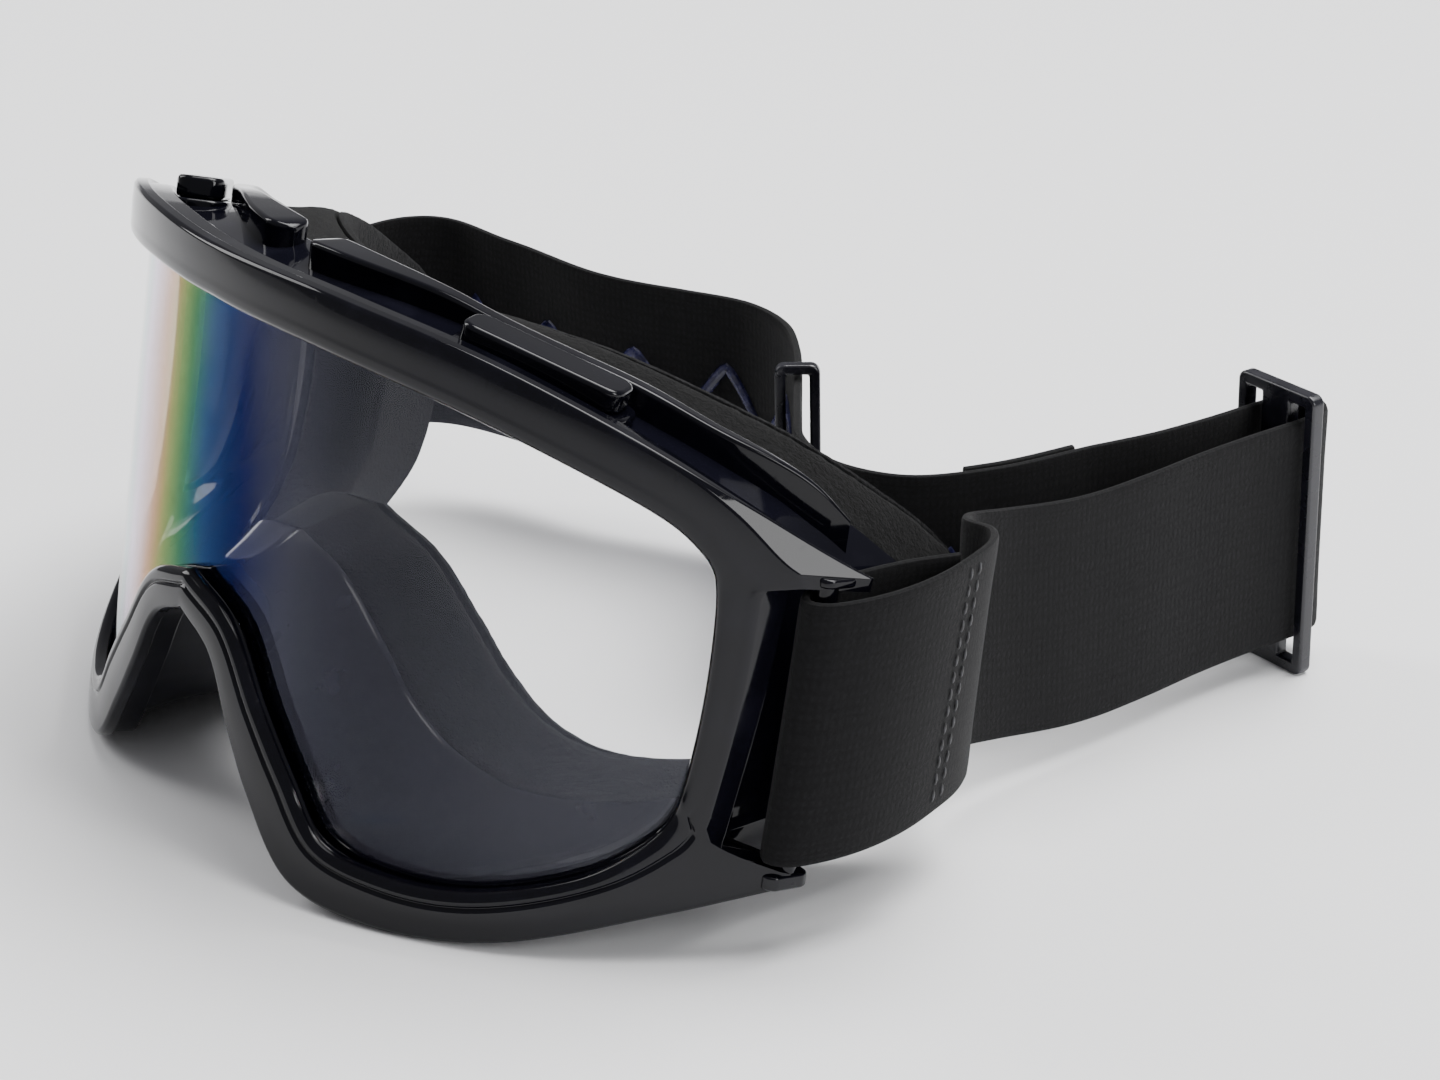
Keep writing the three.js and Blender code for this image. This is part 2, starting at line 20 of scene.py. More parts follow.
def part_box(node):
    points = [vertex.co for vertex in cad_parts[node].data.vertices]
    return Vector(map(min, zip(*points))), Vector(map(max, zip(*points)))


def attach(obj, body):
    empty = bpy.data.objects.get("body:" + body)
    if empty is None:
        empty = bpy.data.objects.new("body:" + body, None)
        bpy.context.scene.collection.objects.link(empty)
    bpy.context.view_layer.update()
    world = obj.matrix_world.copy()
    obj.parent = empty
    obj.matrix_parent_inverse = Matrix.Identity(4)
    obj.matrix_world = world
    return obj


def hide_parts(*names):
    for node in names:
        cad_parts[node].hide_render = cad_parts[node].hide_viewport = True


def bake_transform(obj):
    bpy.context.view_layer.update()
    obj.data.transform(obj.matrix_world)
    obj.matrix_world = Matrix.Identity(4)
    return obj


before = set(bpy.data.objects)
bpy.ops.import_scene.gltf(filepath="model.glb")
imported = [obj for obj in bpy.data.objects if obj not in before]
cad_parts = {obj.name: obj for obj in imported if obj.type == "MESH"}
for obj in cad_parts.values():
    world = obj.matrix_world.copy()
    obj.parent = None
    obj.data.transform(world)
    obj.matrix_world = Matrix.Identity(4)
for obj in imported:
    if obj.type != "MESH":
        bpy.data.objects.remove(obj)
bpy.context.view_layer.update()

LOG = logging.getLogger("goggles")

MM = 0.001
UV_SPAN = 400.0
SHARP_TURN = math.radians(34)

Outline = list[tuple[float, float]]
Section = list[Vector]
Socket = bpy.types.NodeSocket


# ------------------------------------------------------------------ geometry


class Wrap(Enum):
    """How a swept grid of faces closes on itself."""

    RING = "ring"
    TUBE = "tube"


class Side(Enum):
    """The wearer's side that a paired piece belongs to."""

    LEFT = 1
    RIGHT = -1

    @property
    def label(self) -> str:
        """The side's word in a piece's name."""
        return self.name.lower()


def mix(a: float, b: float, t: float) -> float:
    """A value between a and b, with t held between 0 and 1."""
    return a + (b - a) * min(max(t, 0.0), 1.0)


def ease(a: float, b: float, t: float) -> float:
    """As mix, but leaving a and reaching b smoothly."""
    s = min(max(t, 0.0), 1.0)
    return a + (b - a) * s * s * (3 - 2 * s)


class SmoothCurve:
    """A smooth curve through given points, even round tight turns."""

    def __init__(self, points: Sequence[Sequence[float]]) -> None:
        """Takes the points, each of two or three coordinates."""
        self.points = [Vector((*p, 0.0)[:3]) for p in points]
        self.spans = len(self.points) - 1
        self.table: list[float] = []

    def at(self, t: float) -> Vector:
        """The place at t, from 0 to 1, with each span taking an equal share.

        Args:
            t: how far along the list of points.

        Returns:
            The point on the curve.
        """
        where = min(max(t, 0.0), 1.0) * self.spans
        i = min(int(where), self.spans - 1)
        b, c = self.points[i], self.points[i + 1]
        a = self.points[i - 1] if i > 0 else b * 2 - c
        d = self.points[i + 2] if i + 2 <= self.spans else c * 2 - b
        steps = [max((q - p).length, 1e-4) ** 0.5 for p, q in ((a, b), (b, c), (c, d))]
        leave = (b - a) / steps[0] - (c - a) / (steps[0] + steps[1]) + (c - b) / steps[1]
        reach = (c - b) / steps[1] - (d - b) / (steps[1] + steps[2]) + (d - c) / steps[2]
        leave, reach, s = leave * steps[1], reach * steps[1], where - i
        cubic = b * 2 - c * 2 + leave + reach
        square = c * 3 - b * 3 - leave * 2 - reach
        return cubic * s ** 3 + square * s ** 2 + leave * s + b

    def measure(self, divisions: int = 800) -> float:
        """Measures the curve once, and gives its length."""
        if not self.table:
            places = [self.at(i / divisions) for i in range(divisions + 1)]
            self.table = [0.0]
            for p, q in zip(places, places[1:]):
                self.table.append(self.table[-1] + (q - p).length)
        return self.table[-1]

    def along(self, s: float) -> Vector:
        """The place at a share s of the curve's length.

        Args:
            s: 0 at the start and 1 at the end. Outside that, the nearer end.

        Returns:
            The point on the curve.
        """
        total = self.measure()
        want = min(max(s, 0.0), 1.0) * total
        low, high = 0, len(self.table) - 1
        while high - low > 1:
            middle = (low + high) // 2
            if self.table[middle] <= want:
                low = middle
            else:
                high = middle
        gap = max(self.table[high] - self.table[low], 1e-9)
        return self.at((low + (want - self.table[low]) / gap) / (len(self.table) - 1))

    def heading(self, s: float) -> Vector:
        """The direction of travel at a share s of the curve's length."""
        step = 0.001
        return (self.along(min(s + step, 1)) - self.along(max(s - step, 0))).normalized()


def rounded(corners: Outline, radii: Sequence[float], steps: int = 3) -> Outline:
    """Rounds the corners of a closed outline.

    Args:
        corners: the outline's points, in order.
        radii: how far from each corner its rounding starts.
        steps: faces round each corner.

    Returns:
        The outline with steps + 1 points for each corner.
    """
    out: Outline = []
    for i, radius in enumerate(radii):
        here = Vector(corners[i])
        legs = [Vector(corners[i - 1]) - here, Vector(corners[(i + 1) % len(corners)]) - here]
        first, last = (here + leg * min(radius / max(leg.length, 1e-6), 0.46) for leg in legs)
        for k in range(steps + 1):
            t = k / steps
            spot = first * (1 - t) ** 2 + here * 2 * t * (1 - t) + last * t * t
            out.append((spot.x, spot.y))
    return out


def evened(outline: Outline, count: int) -> Outline:
    """The same closed outline with count points equally far apart.

    Args:
        outline: a closed outline.
        count: points in the result.

    Returns:
        The evened outline.
    """
    points = [Vector(p) for p in outline] + [Vector(outline[0])]
    lengths = [0.0]
    for p, q in zip(points, points[1:]):
        lengths.append(lengths[-1] + (q - p).length)
    out: Outline = []
    k = 0
    for i in range(count):
        want = lengths[-1] * i / count
        while lengths[k + 1] < want:
            k += 1
        t = (want - lengths[k]) / max(lengths[k + 1] - lengths[k], 1e-9)
        spot = points[k].lerp(points[k + 1], t)
        out.append((spot.x, spot.y))
    return out


def swept(sections: Sequence[Section], wrap: Wrap, length: float, girth: float) -> bmesh.types.BMesh:
    """Lays a grid of faces over closed sections, with its UV map in real sizes.

    Args:
        sections: the piece's closed section at each station, in millimetres.
        wrap: RING joins the last section to the first, TUBE closes both ends.
        length: real length along the stations, for the UV map.
        girth: real length round a section, for the UV map.

    Returns:
        The closed mesh, still in millimetres.
    """
    stations = len(sections) - (0 if wrap is Wrap.RING else 1)
    rails = len(sections[0])
    bm = bmesh.new()
    bmesh.ops.create_grid(bm, x_segments=stations, y_segments=rails, size=1.0)
    layer = bm.loops.layers.uv.new("surface")
    for face in bm.faces:
        for loop in face.loops:
            u, v = (loop.vert.co.x + 1) / 2, (loop.vert.co.y + 1) / 2
            loop[layer].uv = (u * length / UV_SPAN, v * girth / UV_SPAN)
    for vert in bm.verts:
        i = round((vert.co.x + 1) / 2 * stations) % len(sections)
        j = round((vert.co.y + 1) / 2 * rails) % rails
        vert.co = sections[i][j]
    bmesh.ops.remove_doubles(bm, verts=bm.verts[:], dist=1e-3)
    if wrap is Wrap.TUBE:
        ends = [edge for edge in bm.edges if edge.is_boundary]
        bmesh.ops.edgeloop_fill(bm, edges=ends)
    bmesh.ops.recalc_face_normals(bm, faces=bm.faces[:])
    return bm


def soften(
    bm: bmesh.types.BMesh, edges: Sequence, offset: float, segments: int, clamp: bool = True,
) -> None:
    """Rounds edges off.

    Args:
        bm: the mesh.
        edges: the edges to round.
        offset: how far from each edge its rounding starts.
        segments: faces across the rounding.
        clamp: whether a rounding stops where it would meet the next.
    """
    bmesh.ops.bevel(bm, geom=edges, offset=offset, segments=segments, profile=0.5,
                    affect="EDGES", material=-1, clamp_overlap=clamp)


def bevelled_block(size: Sequence[float], corner: float, edge: float) -> bmesh.types.BMesh:
    """A block centred on the origin, with round upright corners and soft edges.

    Args:
        size: width, depth and height.
        corner: radius of the four upright corners.
        edge: radius of the top and bottom edges.

    Returns:
        The block, in millimetres.
    """
    bm = bmesh.new()
    bmesh.ops.create_cube(bm, size=1.0)
    bmesh.ops.scale(bm, vec=Vector(size), verts=bm.verts[:])
    upright = [e for e in bm.edges if abs(e.verts[0].co.z - e.verts[1].co.z) > 1e-6]
    soften(bm, upright, corner, 6)
    rims = [e for e in bm.edges if abs(e.verts[0].co.z - e.verts[1].co.z) < 1e-6]
    soften(bm, rims, edge, 3)
    return bm


def mirrored(bm: bmesh.types.BMesh) -> bmesh.types.BMesh:
    """Turns a mesh into its mirror image across the centre plane."""
    bmesh.ops.scale(bm, vec=Vector((-1, 1, 1)), verts=bm.verts[:])
    bmesh.ops.reverse_faces(bm, faces=bm.faces[:])
    return bm


@dataclass(frozen=True)
class Space:
    """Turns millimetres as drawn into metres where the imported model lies."""

    lean: float
    shift: Vector

    def place(self, p: Vector) -> Vector:
        """Leans a drawn point back and moves it to where it lies."""
        c, s = math.cos(self.lean), math.sin(self.lean)
        return Vector((p.x, p.y * c + p.z * s, p.z * c - p.y * s)) * MM + self.shift

    def make(self, bm: bmesh.types.BMesh, name: str) -> bpy.types.Object:
        """Makes a finished object of a mesh drawn in millimetres.

        Args:
            bm: the mesh, which this frees.
            name: the piece's name.

        Returns:
            The object, at the origin, with its place in its mesh.
        """
        for vert in bm.verts:
            vert.co = self.place(vert.co)
        for face in bm.faces:
            face.smooth = True
        bm.normal_update()
        for edge in bm.edges:
            edge.smooth = not edge.is_manifold or edge.calc_face_angle(0.0) < SHARP_TURN
        mesh = bpy.data.meshes.new(name)
        bm.to_mesh(mesh)
        bm.free()
        obj = bpy.data.objects.new(name, mesh)
        bpy.context.collection.objects.link(obj)
        return obj


REAR_SLIDER_X = 60.1
REAR_SLIDER_Y = 178.0
TABLE_LEVEL = -3.05


def drawing_shift() -> Vector:
    """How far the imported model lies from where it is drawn, read off its rear slider."""
    low, high = (Vector(corner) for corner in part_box("slider_rear"))
    middle = (low + high) / 2
    drawn = Vector((REAR_SLIDER_X, REAR_SLIDER_Y, 0)) * MM
    return Vector((middle.x - drawn.x, middle.y - drawn.y, low.z - TABLE_LEVEL * MM))


TABLE = Space(lean=0.0, shift=drawing_shift())
WORN = Space(lean=math.radians(10.9), shift=drawing_shift())


# ------------------------------------------------------------------ finishes


def hex_colour(code: str) -> tuple[float, float, float, float]:
    """An sRGB hex colour as the linear colour that a shader takes."""
    channels = [int(code[i:i + 2], 16) / 255 for i in (1, 3, 5)]
    linear = [c / 12.92 if c <= 0.04045 else ((c + 0.055) / 1.055) ** 2.4 for c in channels]
    return (*linear, 1.0)


def add_node(
    tree: bpy.types.NodeTree, kind: str, settings: dict | None = None, links: dict | None = None,
) -> bpy.types.Node:
    """Adds a shader node with its settings and links.

    Args:
        tree: the material's or world's node tree.
        kind: the node's type name.
        settings: values by attribute name, or by input name or number.
        links: output sockets by the name or number of the input they go to.

    Returns:
        The new node.
    """
    node = tree.nodes.new(kind)
    for key, value in (settings or {}).items():
        if isinstance(key, str) and hasattr(node, key):
            setattr(node, key, value)
        else:
            node.inputs[key].default_value = value
    for key, socket in (links or {}).items():
        tree.links.new(socket, node.inputs[key])
    return node


def set_ramp(node: bpy.types.Node, stops: Sequence[tuple[float, str]]) -> None:
    """Gives a colour ramp its stops, each a place from 0 to 1 and a hex colour."""
    ramp = node.color_ramp
    while len(ramp.elements) < len(stops):
        ramp.elements.new(1.0)
    for element, (place, code) in zip(ramp.elements, stops):
        element.position = place
        element.color = hex_colour(code)


# Phase that a wave texture runs through in one rib, thread or twist.
WAVE_TURN = 6.283


def per_metre(size: float) -> float:
    """Texture scale on Object coordinates for a feature of that many millimetres."""
    return 1.0 / (size * MM)


def per_map(size: float) -> float:
    """Texture scale on a swept piece's UV map for a feature of that many millimetres."""
    return UV_SPAN / size


class Finish:
    """A material with one Principled shader, which the subclasses dress."""

    name = "plain"

    def __init__(self) -> None:
        """Makes the material and the shader, and lets the finish dress it."""
        self.material = bpy.data.materials.new(self.name)
        self.material.use_nodes = True
        self.tree = self.material.node_tree
        self.shader = self.tree.nodes["Principled BSDF"]
        self.coords = add_node(self.tree, "ShaderNodeTexCoord")
        self.dress()

    def dress(self) -> None:
        """Adds the finish's own nodes."""

    def node(self, kind: str, settings: dict | None = None, links: dict | None = None) -> bpy.types.Node:
        """Adds a node to this finish's tree."""
        return add_node(self.tree, kind, settings, links)

    def mottle(self, size: float, detail: float, place: Socket | None = None, **settings: float) -> Socket:
        """A noise whose features are that many millimetres.

        Args:
            size: the features' size.
            detail: octaves of finer noise in it.
            place: coordinates, or the object's own.
            settings: further inputs of the noise, by name.

        Returns:
            The noise's value.
        """
        links = {"Vector": place or self.coords.outputs["Object"]}
        values = {"Scale": per_metre(size), "Detail": detail, **settings}
        return self.node("ShaderNodeTexNoise", values, links).outputs["Fac"]

    def spread(self, value: Socket, *limits: float) -> Socket:
        """A value between the first two limits, spread over the last two."""
        names = ("From Min", "From Max", "To Min", "To Max")
        return self.node("ShaderNodeMapRange", dict(zip(names, limits)), {"Value": value}).outputs["Result"]

    def tinted(self, value: Socket, stops: Sequence[tuple[float, str]]) -> Socket:
        """A colour ramp over a value."""
        ramp = self.node("ShaderNodeValToRGB", {}, {"Fac": value})
        set_ramp(ramp, stops)
        return ramp.outputs["Color"]

    def plus(self, base: Socket, value: Socket, factor: float) -> Socket:
        """A value times a factor, added to a base."""
        settings = {"operation": "MULTIPLY_ADD", 1: factor}
        return self.node("ShaderNodeMath", settings, {0: value, 2: base}).outputs[0]

    def relief(self, height: Socket, strength: float, depth: float) -> Socket:
        """A bump whose full height is that many millimetres."""
        settings = {"Strength": strength, "Distance": depth * MM}
        return self.node("ShaderNodeBump", settings, {"Height": height}).outputs["Normal"]

    def shade(self, values: dict) -> None:
        """Sets values on the shader's own sockets."""
        for key, value in values.items():
            self.shader.inputs[key].default_value = value

    def drive(self, links: dict) -> None:
        """Links outputs to the shader's inputs."""
        for key, socket in links.items():
            self.tree.links.new(socket, self.shader.inputs[key])


class GlossPlastic(Finish):
    """ABS, injection moulded in a polished tool: a deep black mirror with a faint
    violet body tint, slight flow waves, and handling smudges that dull it in patches."""

    name = "abs_injection_moulded_polished"
    body = "#07070d"
    rubbed = "#0f0f17"
    wave_size = 16.0
    smudge_size = 11.0
    scratch_size = 0.9
    polish = 0.055

    def dress(self) -> None:
        """Smudges and hairline scratches in the roughness, flow waves in the bump."""
        patches = self.spread(self.mottle(self.smudge_size, 5.0, Roughness=0.6), 0.5, 0.78, 0.0, 1.0)
        stretch = self.node("ShaderNodeMapping", {"Scale": (1.0, 0.12, 0.35), "Rotation": (0.3, 0.2, 0.7)},
                            {"Vector": self.coords.outputs["Object"]})
        hair = self.mottle(self.scratch_size, 2.0, stretch.outputs["Vector"])
        dull = self.plus(self.spread(hair, 0.66, 0.74, 0.0, 0.12), patches, 0.1)
        rough = self.node("ShaderNodeMath", {"operation": "ADD", 1: self.polish}, {0: dull})
        tint = self.node("ShaderNodeMix", {"data_type": "RGBA", 6: hex_colour(self.body),
                                           7: hex_colour(self.rubbed)}, {0: patches})
        self.shade({"IOR": 1.45, "Specular IOR Level": 0.3})
        self.drive({"Base Color": tint.outputs[2], "Roughness": rough.outputs[0],
                    "Normal": self.relief(self.mottle(self.wave_size, 1.0), 0.25, 0.4)})


class ShellPlasticPaintedLight(GlossPlastic):
    """The same ABS on the face shell, with a lighter, greyer violet body colour over the whole shell:
    painted light, standing in for the light that comes through the lens onto its inner wall."""

    name = "abs_shell_with_painted_light"
    # painted light: these body and rubbed colours are lifted above the frame's to stand in for light
    # through the lens
    body = "#0c0c14"
    rubbed = "#15151e"


class LensSheet(Finish):
    """Polycarbonate, extruded and vacuum coated: clear when looked through squarely,
    and a thin mirror whose colour runs through blue, green and orange to white as
    the sheet turns away. A few fine scuffs blur it."""

    name = "polycarbonate_vacuum_coated"
    fringe_size = 60.0
    scuff_size = 7.0
    waver = 0.12
    colours = ((0.0, "#e4e6f2"), (0.42, "#cfd2ee"), (0.52, "#3a4cb0"), (0.6, "#2468b4"),
               (0.66, "#2a9a64"), (0.72, "#86a832"), (0.77, "#d08c34"), (0.82, "#e0bcb4"),
               (0.88, "#f6dcfa"), (0.94, "#dcf8fc"), (1.0, "#ffffff"))
    strengths = ((0.0, 0.03), (0.45, 0.05), (0.56, 0.12), (0.66, 0.26), (0.76, 0.45), (0.86, 0.7),
                 (1.0, 0.95))

    def dress(self) -> None:
        """The coating's colour and strength by how far the sheet turns away."""
        turned = self.node("ShaderNodeLayerWeight", {"Blend": 0.5}).outputs["Facing"]
        fringe = self.mottle(self.fringe_size, 1.0, Distortion=0.8)
        order = self.tinted(self.plus(turned, fringe, self.waver), self.colours)
        cover = self.node("ShaderNodeFloatCurve", {}, {"Value": turned})
        curve = cover.mapping.curves[0]
        curve.points[0].location, curve.points[1].location = self.strengths[0], self.strengths[-1]
        for where, strength in self.strengths[1:-1]:
            curve.points.new(where, strength)
        cover.mapping.update()
        stretch = self.node("ShaderNodeMapping", {"Scale": (1.0, 1.0, 0.15), "Rotation": (0.0, 0.9, 0.0)},
                            {"Vector": self.coords.outputs["Object"]})
        scuff = self.mottle(self.scuff_size, 8.0, stretch.outputs["Vector"], Roughness=0.8)
        self.shade({"Metallic": 1.0})
        self.drive({"Base Color": order, "Roughness": self.spread(scuff, 0.66, 0.78, 0.02, 0.14),
                    "Alpha": cover.outputs["Value"]})


class SealFoam(Finish):
    """Polyurethane foam, flocked: a soft black nap that scatters light at its edge
    and shows a fine pepper of lighter fibre tips."""

    name = "polyurethane_foam_flocked"
    nap_size = 0.75
    dark = "#020202"
    tip = "#131314"

    def dress(self) -> None:
        """Fibre tips as a fine noise in colour and bump, with sheen for the nap."""
        nap = self.mottle(self.nap_size, 4.0, Roughness=0.75)
        tufts = self.mottle(self.nap_size * 6, 3.0)
        self.shade({"Roughness": 1.0, "Specular IOR Level": 0.1, "Sheen Weight": 0.05,
                    "Sheen Roughness": 0.6})
        self.drive({"Base Color": self.tinted(nap, [(0.42, self.dark), (0.72, self.tip)]),
                    "Normal": self.relief(self.plus(nap, tufts, 0.5), 1.0, 0.6)})


class Fleece(SealFoam):
    """Polyester fleece, brushed and bonded to the foam where it meets the face."""

    name = "polyester_fleece_brushed"
    nap_size = 0.9
    dark = "#070708"
    tip = "#222224"


class VentFoam(SealFoam):
    """Reticulated filter foam, cut: an open coarse cell that lets air through."""

    name = "filter_foam_reticulated"
    nap_size = 1.3
    dark = "#050506"
    tip = "#303034"


class Webbing(Finish):
    """Polyester and rubber elastic, woven: fine ribs across the band, each thread
    0.55 mm wide, and a matte face with a little brushed lint."""

    name = "elastic_webbing_woven"
    rib = 0.55
    pick = 0.55
    lint_size = 0.8
    dark = "#040405"
    light = "#131315"

    def dress(self) -> None:
        """Ribs and picks as two waves on the band's own map, with lint over them."""
        ribs, picks = (
            self.node("ShaderNodeTexWave", {"bands_direction": axis, "Scale": per_map(size) / WAVE_TURN,
                                            "Distortion": uneven, "Detail": 1.0},
                      {"Vector": self.coords.outputs["UV"]}).outputs["Fac"]
            for axis, size, uneven in (("Y", self.rib, 0.6), ("X", self.pick, 0.8))
        )
        weave = self.node("ShaderNodeMath", {"operation": "MULTIPLY"}, {0: ribs, 1: picks})
        lint = self.mottle(self.lint_size, 6.0, Roughness=0.85)
        mixed = self.plus(lint, weave.outputs[0], 0.18)
        self.shade({"Roughness": 0.95, "Specular IOR Level": 0.2, "Sheen Weight": 0.06,
                    "Sheen Roughness": 0.5})
        self.drive({"Base Color": self.tinted(mixed, [(0.42, self.dark), (0.85, self.light)]),
                    "Normal": self.relief(mixed, 0.7, 0.25)})


class Thread(Finish):
    """Polyester sewing thread, twisted: slightly shinier than the webbing it closes."""

    name = "polyester_thread_twisted"
    twist = 0.45

    def dress(self) -> None:
        """The thread's twist as a slanting wave in colour and bump."""
        settings = {"bands_direction": "DIAGONAL", "Scale": per_metre(self.twist) / WAVE_TURN}
        links = {"Vector": self.coords.outputs["Object"]}
        twist = self.node("ShaderNodeTexWave", settings, links).outputs["Fac"]
        self.shade({"Roughness": 0.6, "Sheen Weight": 0.2})
        self.drive({"Base Color": self.tinted(twist, [(0.2, "#101012"), (0.9, "#2b2b2f")]),
                    "Normal": self.relief(twist, 0.6, 0.1)})


class SiliconeBead(Finish):
    """Silicone rubber, printed on the webbing as a bead: dark blue violet, glossy
    on its crown where it stands clear of the cloth."""

    name = "silicone_printed_bead"
    flow_size = 1.8

    def dress(self) -> None:
        """A little unevenness in tone, gloss and height along the bead."""
        flow = self.mottle(self.flow_size, 3.0)
        self.shade({"IOR": 1.43})
        self.drive({"Base Color": self.tinted(flow, [(0.3, "#13132a"), (0.7, "#2b2b52")]),
                    "Roughness": self.spread(flow, 0.0, 1.0, 0.12, 0.4),
                    "Normal": self.relief(flow, 0.4, 0.2)})


class SatinNylon(Finish):
    """Nylon, injection moulded in a spark-eroded tool: satin black with a fine grain and brighter, rubbed
    patches scattered over it."""

    name = "nylon_injection_moulded_satin"
    grain_size = 0.35
    rub_size = 6.0

    def dress(self) -> None:
        """The tool's grain in the bump and the strap's rub in the gloss."""
        rub = self.mottle(self.rub_size, 3.0)
        self.shade({"IOR": 1.53})
        self.drive({"Base Color": self.tinted(rub, [(0.35, "#0d0d14"), (0.7, "#17171f")]),
                    "Roughness": self.spread(rub, 0.35, 0.7, 0.18, 0.38),
                    "Normal": self.relief(self.mottle(self.grain_size, 3.0), 0.15, 0.1)})


@dataclass(frozen=True)
class Finishes:
    """Every finish of the goggles, made once."""

    gloss: Finish = field(default_factory=GlossPlastic)
    shell: Finish = field(default_factory=ShellPlasticPaintedLight)
    lens: Finish = field(default_factory=LensSheet)
    foam: Finish = field(default_factory=SealFoam)
    fleece: Finish = field(default_factory=Fleece)
    filter: Finish = field(default_factory=VentFoam)
    webbing: Finish = field(default_factory=Webbing)
    thread: Finish = field(default_factory=Thread)
    silicone: Finish = field(default_factory=SiliconeBead)
    nylon: Finish = field(default_factory=SatinNylon)


def settle(
    obj: bpy.types.Object, finish: Finish, nodes: Sequence[str] = (),
    body: str | None = "goggles", even: bool = False,
) -> bpy.types.Object:
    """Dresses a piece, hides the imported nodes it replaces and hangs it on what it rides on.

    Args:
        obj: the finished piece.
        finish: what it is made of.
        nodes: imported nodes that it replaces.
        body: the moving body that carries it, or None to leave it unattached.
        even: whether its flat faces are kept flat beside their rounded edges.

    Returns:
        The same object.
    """
    obj.data.materials.append(finish.material)
    if nodes:
        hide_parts(*nodes)
    if even:
        modifier = obj.modifiers.new("even_shading", "WEIGHTED_NORMAL")
        modifier.keep_sharp = True
        modifier.weight = 50
    if body:
        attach(obj, body)
    LOG.info("%s: %d faces, %s", obj.name, len(obj.data.polygons), finish.name)
    return obj


# ------------------------------------------------------------- ring outlines

# Half outlines from the top centre, round the wearer's left, to the nose, in
# millimetres: x from the centre plane and z up. All have the same stations.
HALF: dict[str, Outline] = {
    "frame_outer": [
        (0, 91.8), (28, 91.4), (52, 88.4), (70, 81.9), (81, 74.7), (91.3, 65.2), (91.2, 63.2),
        (85.6, 63.4), (84.9, 46), (83.1, 21), (88.6, 20.3), (89.2, 18.6), (79.4, 12.1),
        (62, 2.6), (44, -0.6), (30, 1.5), (20.5, 11.8), (15, 20), (8.5, 30.5), (0, 34.5),
    ],
    "frame_inner": [
        (0, 83.5), (27, 82.7), (50, 79.7), (66, 74.7), (74.5, 70.2), (77.6, 66.9), (78.9, 64.5),
        (79.5, 61.5), (79.8, 45), (78.9, 29.7), (78.2, 26), (76.2, 21.8), (70.5, 15.6),
        (58, 9.5), (46, 7.9), (35, 9.6), (28, 17.5), (20.8, 26.2), (12, 36.8), (0, 41),
    ],
    "shell_outer": [
        (0, 90.2), (24, 89.4), (42, 86.4), (56, 81.4), (66, 76), (73.5, 69), (76.5, 64.5),
        (78.5, 60), (79, 45), (79, 30), (78, 24), (75.5, 18.5), (70, 12.5),
        (56, 6.5), (42, 4.5), (31, 6), (22, 14), (15.5, 22), (8.5, 31.5), (0, 36),
    ],
    "shell_inner": [
        (0, 86), (24, 85), (42, 82), (55, 77), (62.5, 72), (68, 66.5), (70, 63),
        (71.5, 59.5), (72, 46), (70.8, 33.5), (69.5, 29.5), (67, 25.5), (62.5, 22.2),
        (54, 19.8), (45, 19.5), (36, 22.5), (28.5, 28), (21, 36), (12, 43), (0, 46),
    ],
    "foam_outer": [
        (0, 84), (24, 86.2), (41, 85.2), (54, 81.2), (62.5, 76.4), (69.5, 69), (72, 64.5),
        (73.4, 60), (74, 46), (73.4, 31), (72.4, 25.5), (70, 20.5), (65, 15.5),
        (53, 10), (42, 8), (32, 10), (23.5, 17), (17, 24.5), (9.5, 33), (0, 37.5),
    ],
    "foam_inner": [
        (0, 80.2), (23, 80.4), (40, 78.6), (52, 74), (58.5, 69.4), (63.2, 64.2), (65.2, 61),
        (66, 58), (66.5, 47), (65.6, 37), (64.6, 33.4), (62.5, 30), (59, 27.4),
        (52, 25.4), (45, 25), (38, 27.5), (31, 33), (24, 40), (14.5, 47), (0, 50),
    ],
}
CORNERS = (5, 6, 7, 9, 10, 11)
STEPS = 11


def whole_ring(name: str, corners: Sequence[int] = ()) -> Outline:
    """Closes a half outline into the whole ring, with its mirror image.

    Args:
        name: which outline.
        corners: its sharp corners, which the smooth curve stops at.

    Returns:
        The ring's points, STEPS to a span.
    """
    points = HALF[name]
    ends = [0, *corners, len(points) - 1]
    half: Outline = []
    for start, stop in zip(ends, ends[1:]):
        curve = SmoothCurve(points[start:stop + 1])
        count = (stop - start) * STEPS
        for i in range(count):
            spot = curve.at(i / count)
            half.append((max(spot.x, 0.0), spot.y))
    half.append(points[-1])
    return half + [(-x, z) for x, z in reversed(half[1:-1])]


RING: dict[str, Outline] = {
    name: whole_ring(name, CORNERS if name == "frame_outer" else ()) for name in HALF
}
RING_COUNT = len(RING["frame_outer"])
RING_LENGTH = 480.0

FRONT_RADIUS = 100.5
FRAME_FACE = 3.0
FRAME_DEPTH = 6.0
FIT = 0.3
LENS_THICKNESS = 1.1
SHELL_REAR = (20.2, 83.0)
FOAM_FRONT = (20.8, 82.4)
FOAM_REAR = (34.0, 75.8)


def on_front(x: float, z: float, depth: float) -> Vector:
    """A point that is depth behind the front cylinder, at x on it."""
    angle = math.asin(x / FRONT_RADIUS)
    r = FRONT_RADIUS - depth
    return Vector((r * math.sin(angle), FRONT_RADIUS - r * math.cos(angle), z))


def on_arc(x: float, z: float, arc: tuple[float, float]) -> Vector:
    """A point on an arc in plan, given as its apex and radius."""
    apex, radius = arc
    return Vector((x, apex + radius - math.sqrt(radius ** 2 - x * x), z))


def on_face(degrees: float, r: float, z: float) -> Vector:
    """A point by its angle round the axis of the face shell's rear edge."""
    angle = math.radians(degrees)
    return Vector((r * math.sin(angle), sum(SHELL_REAR) - r * math.cos(angle), z))


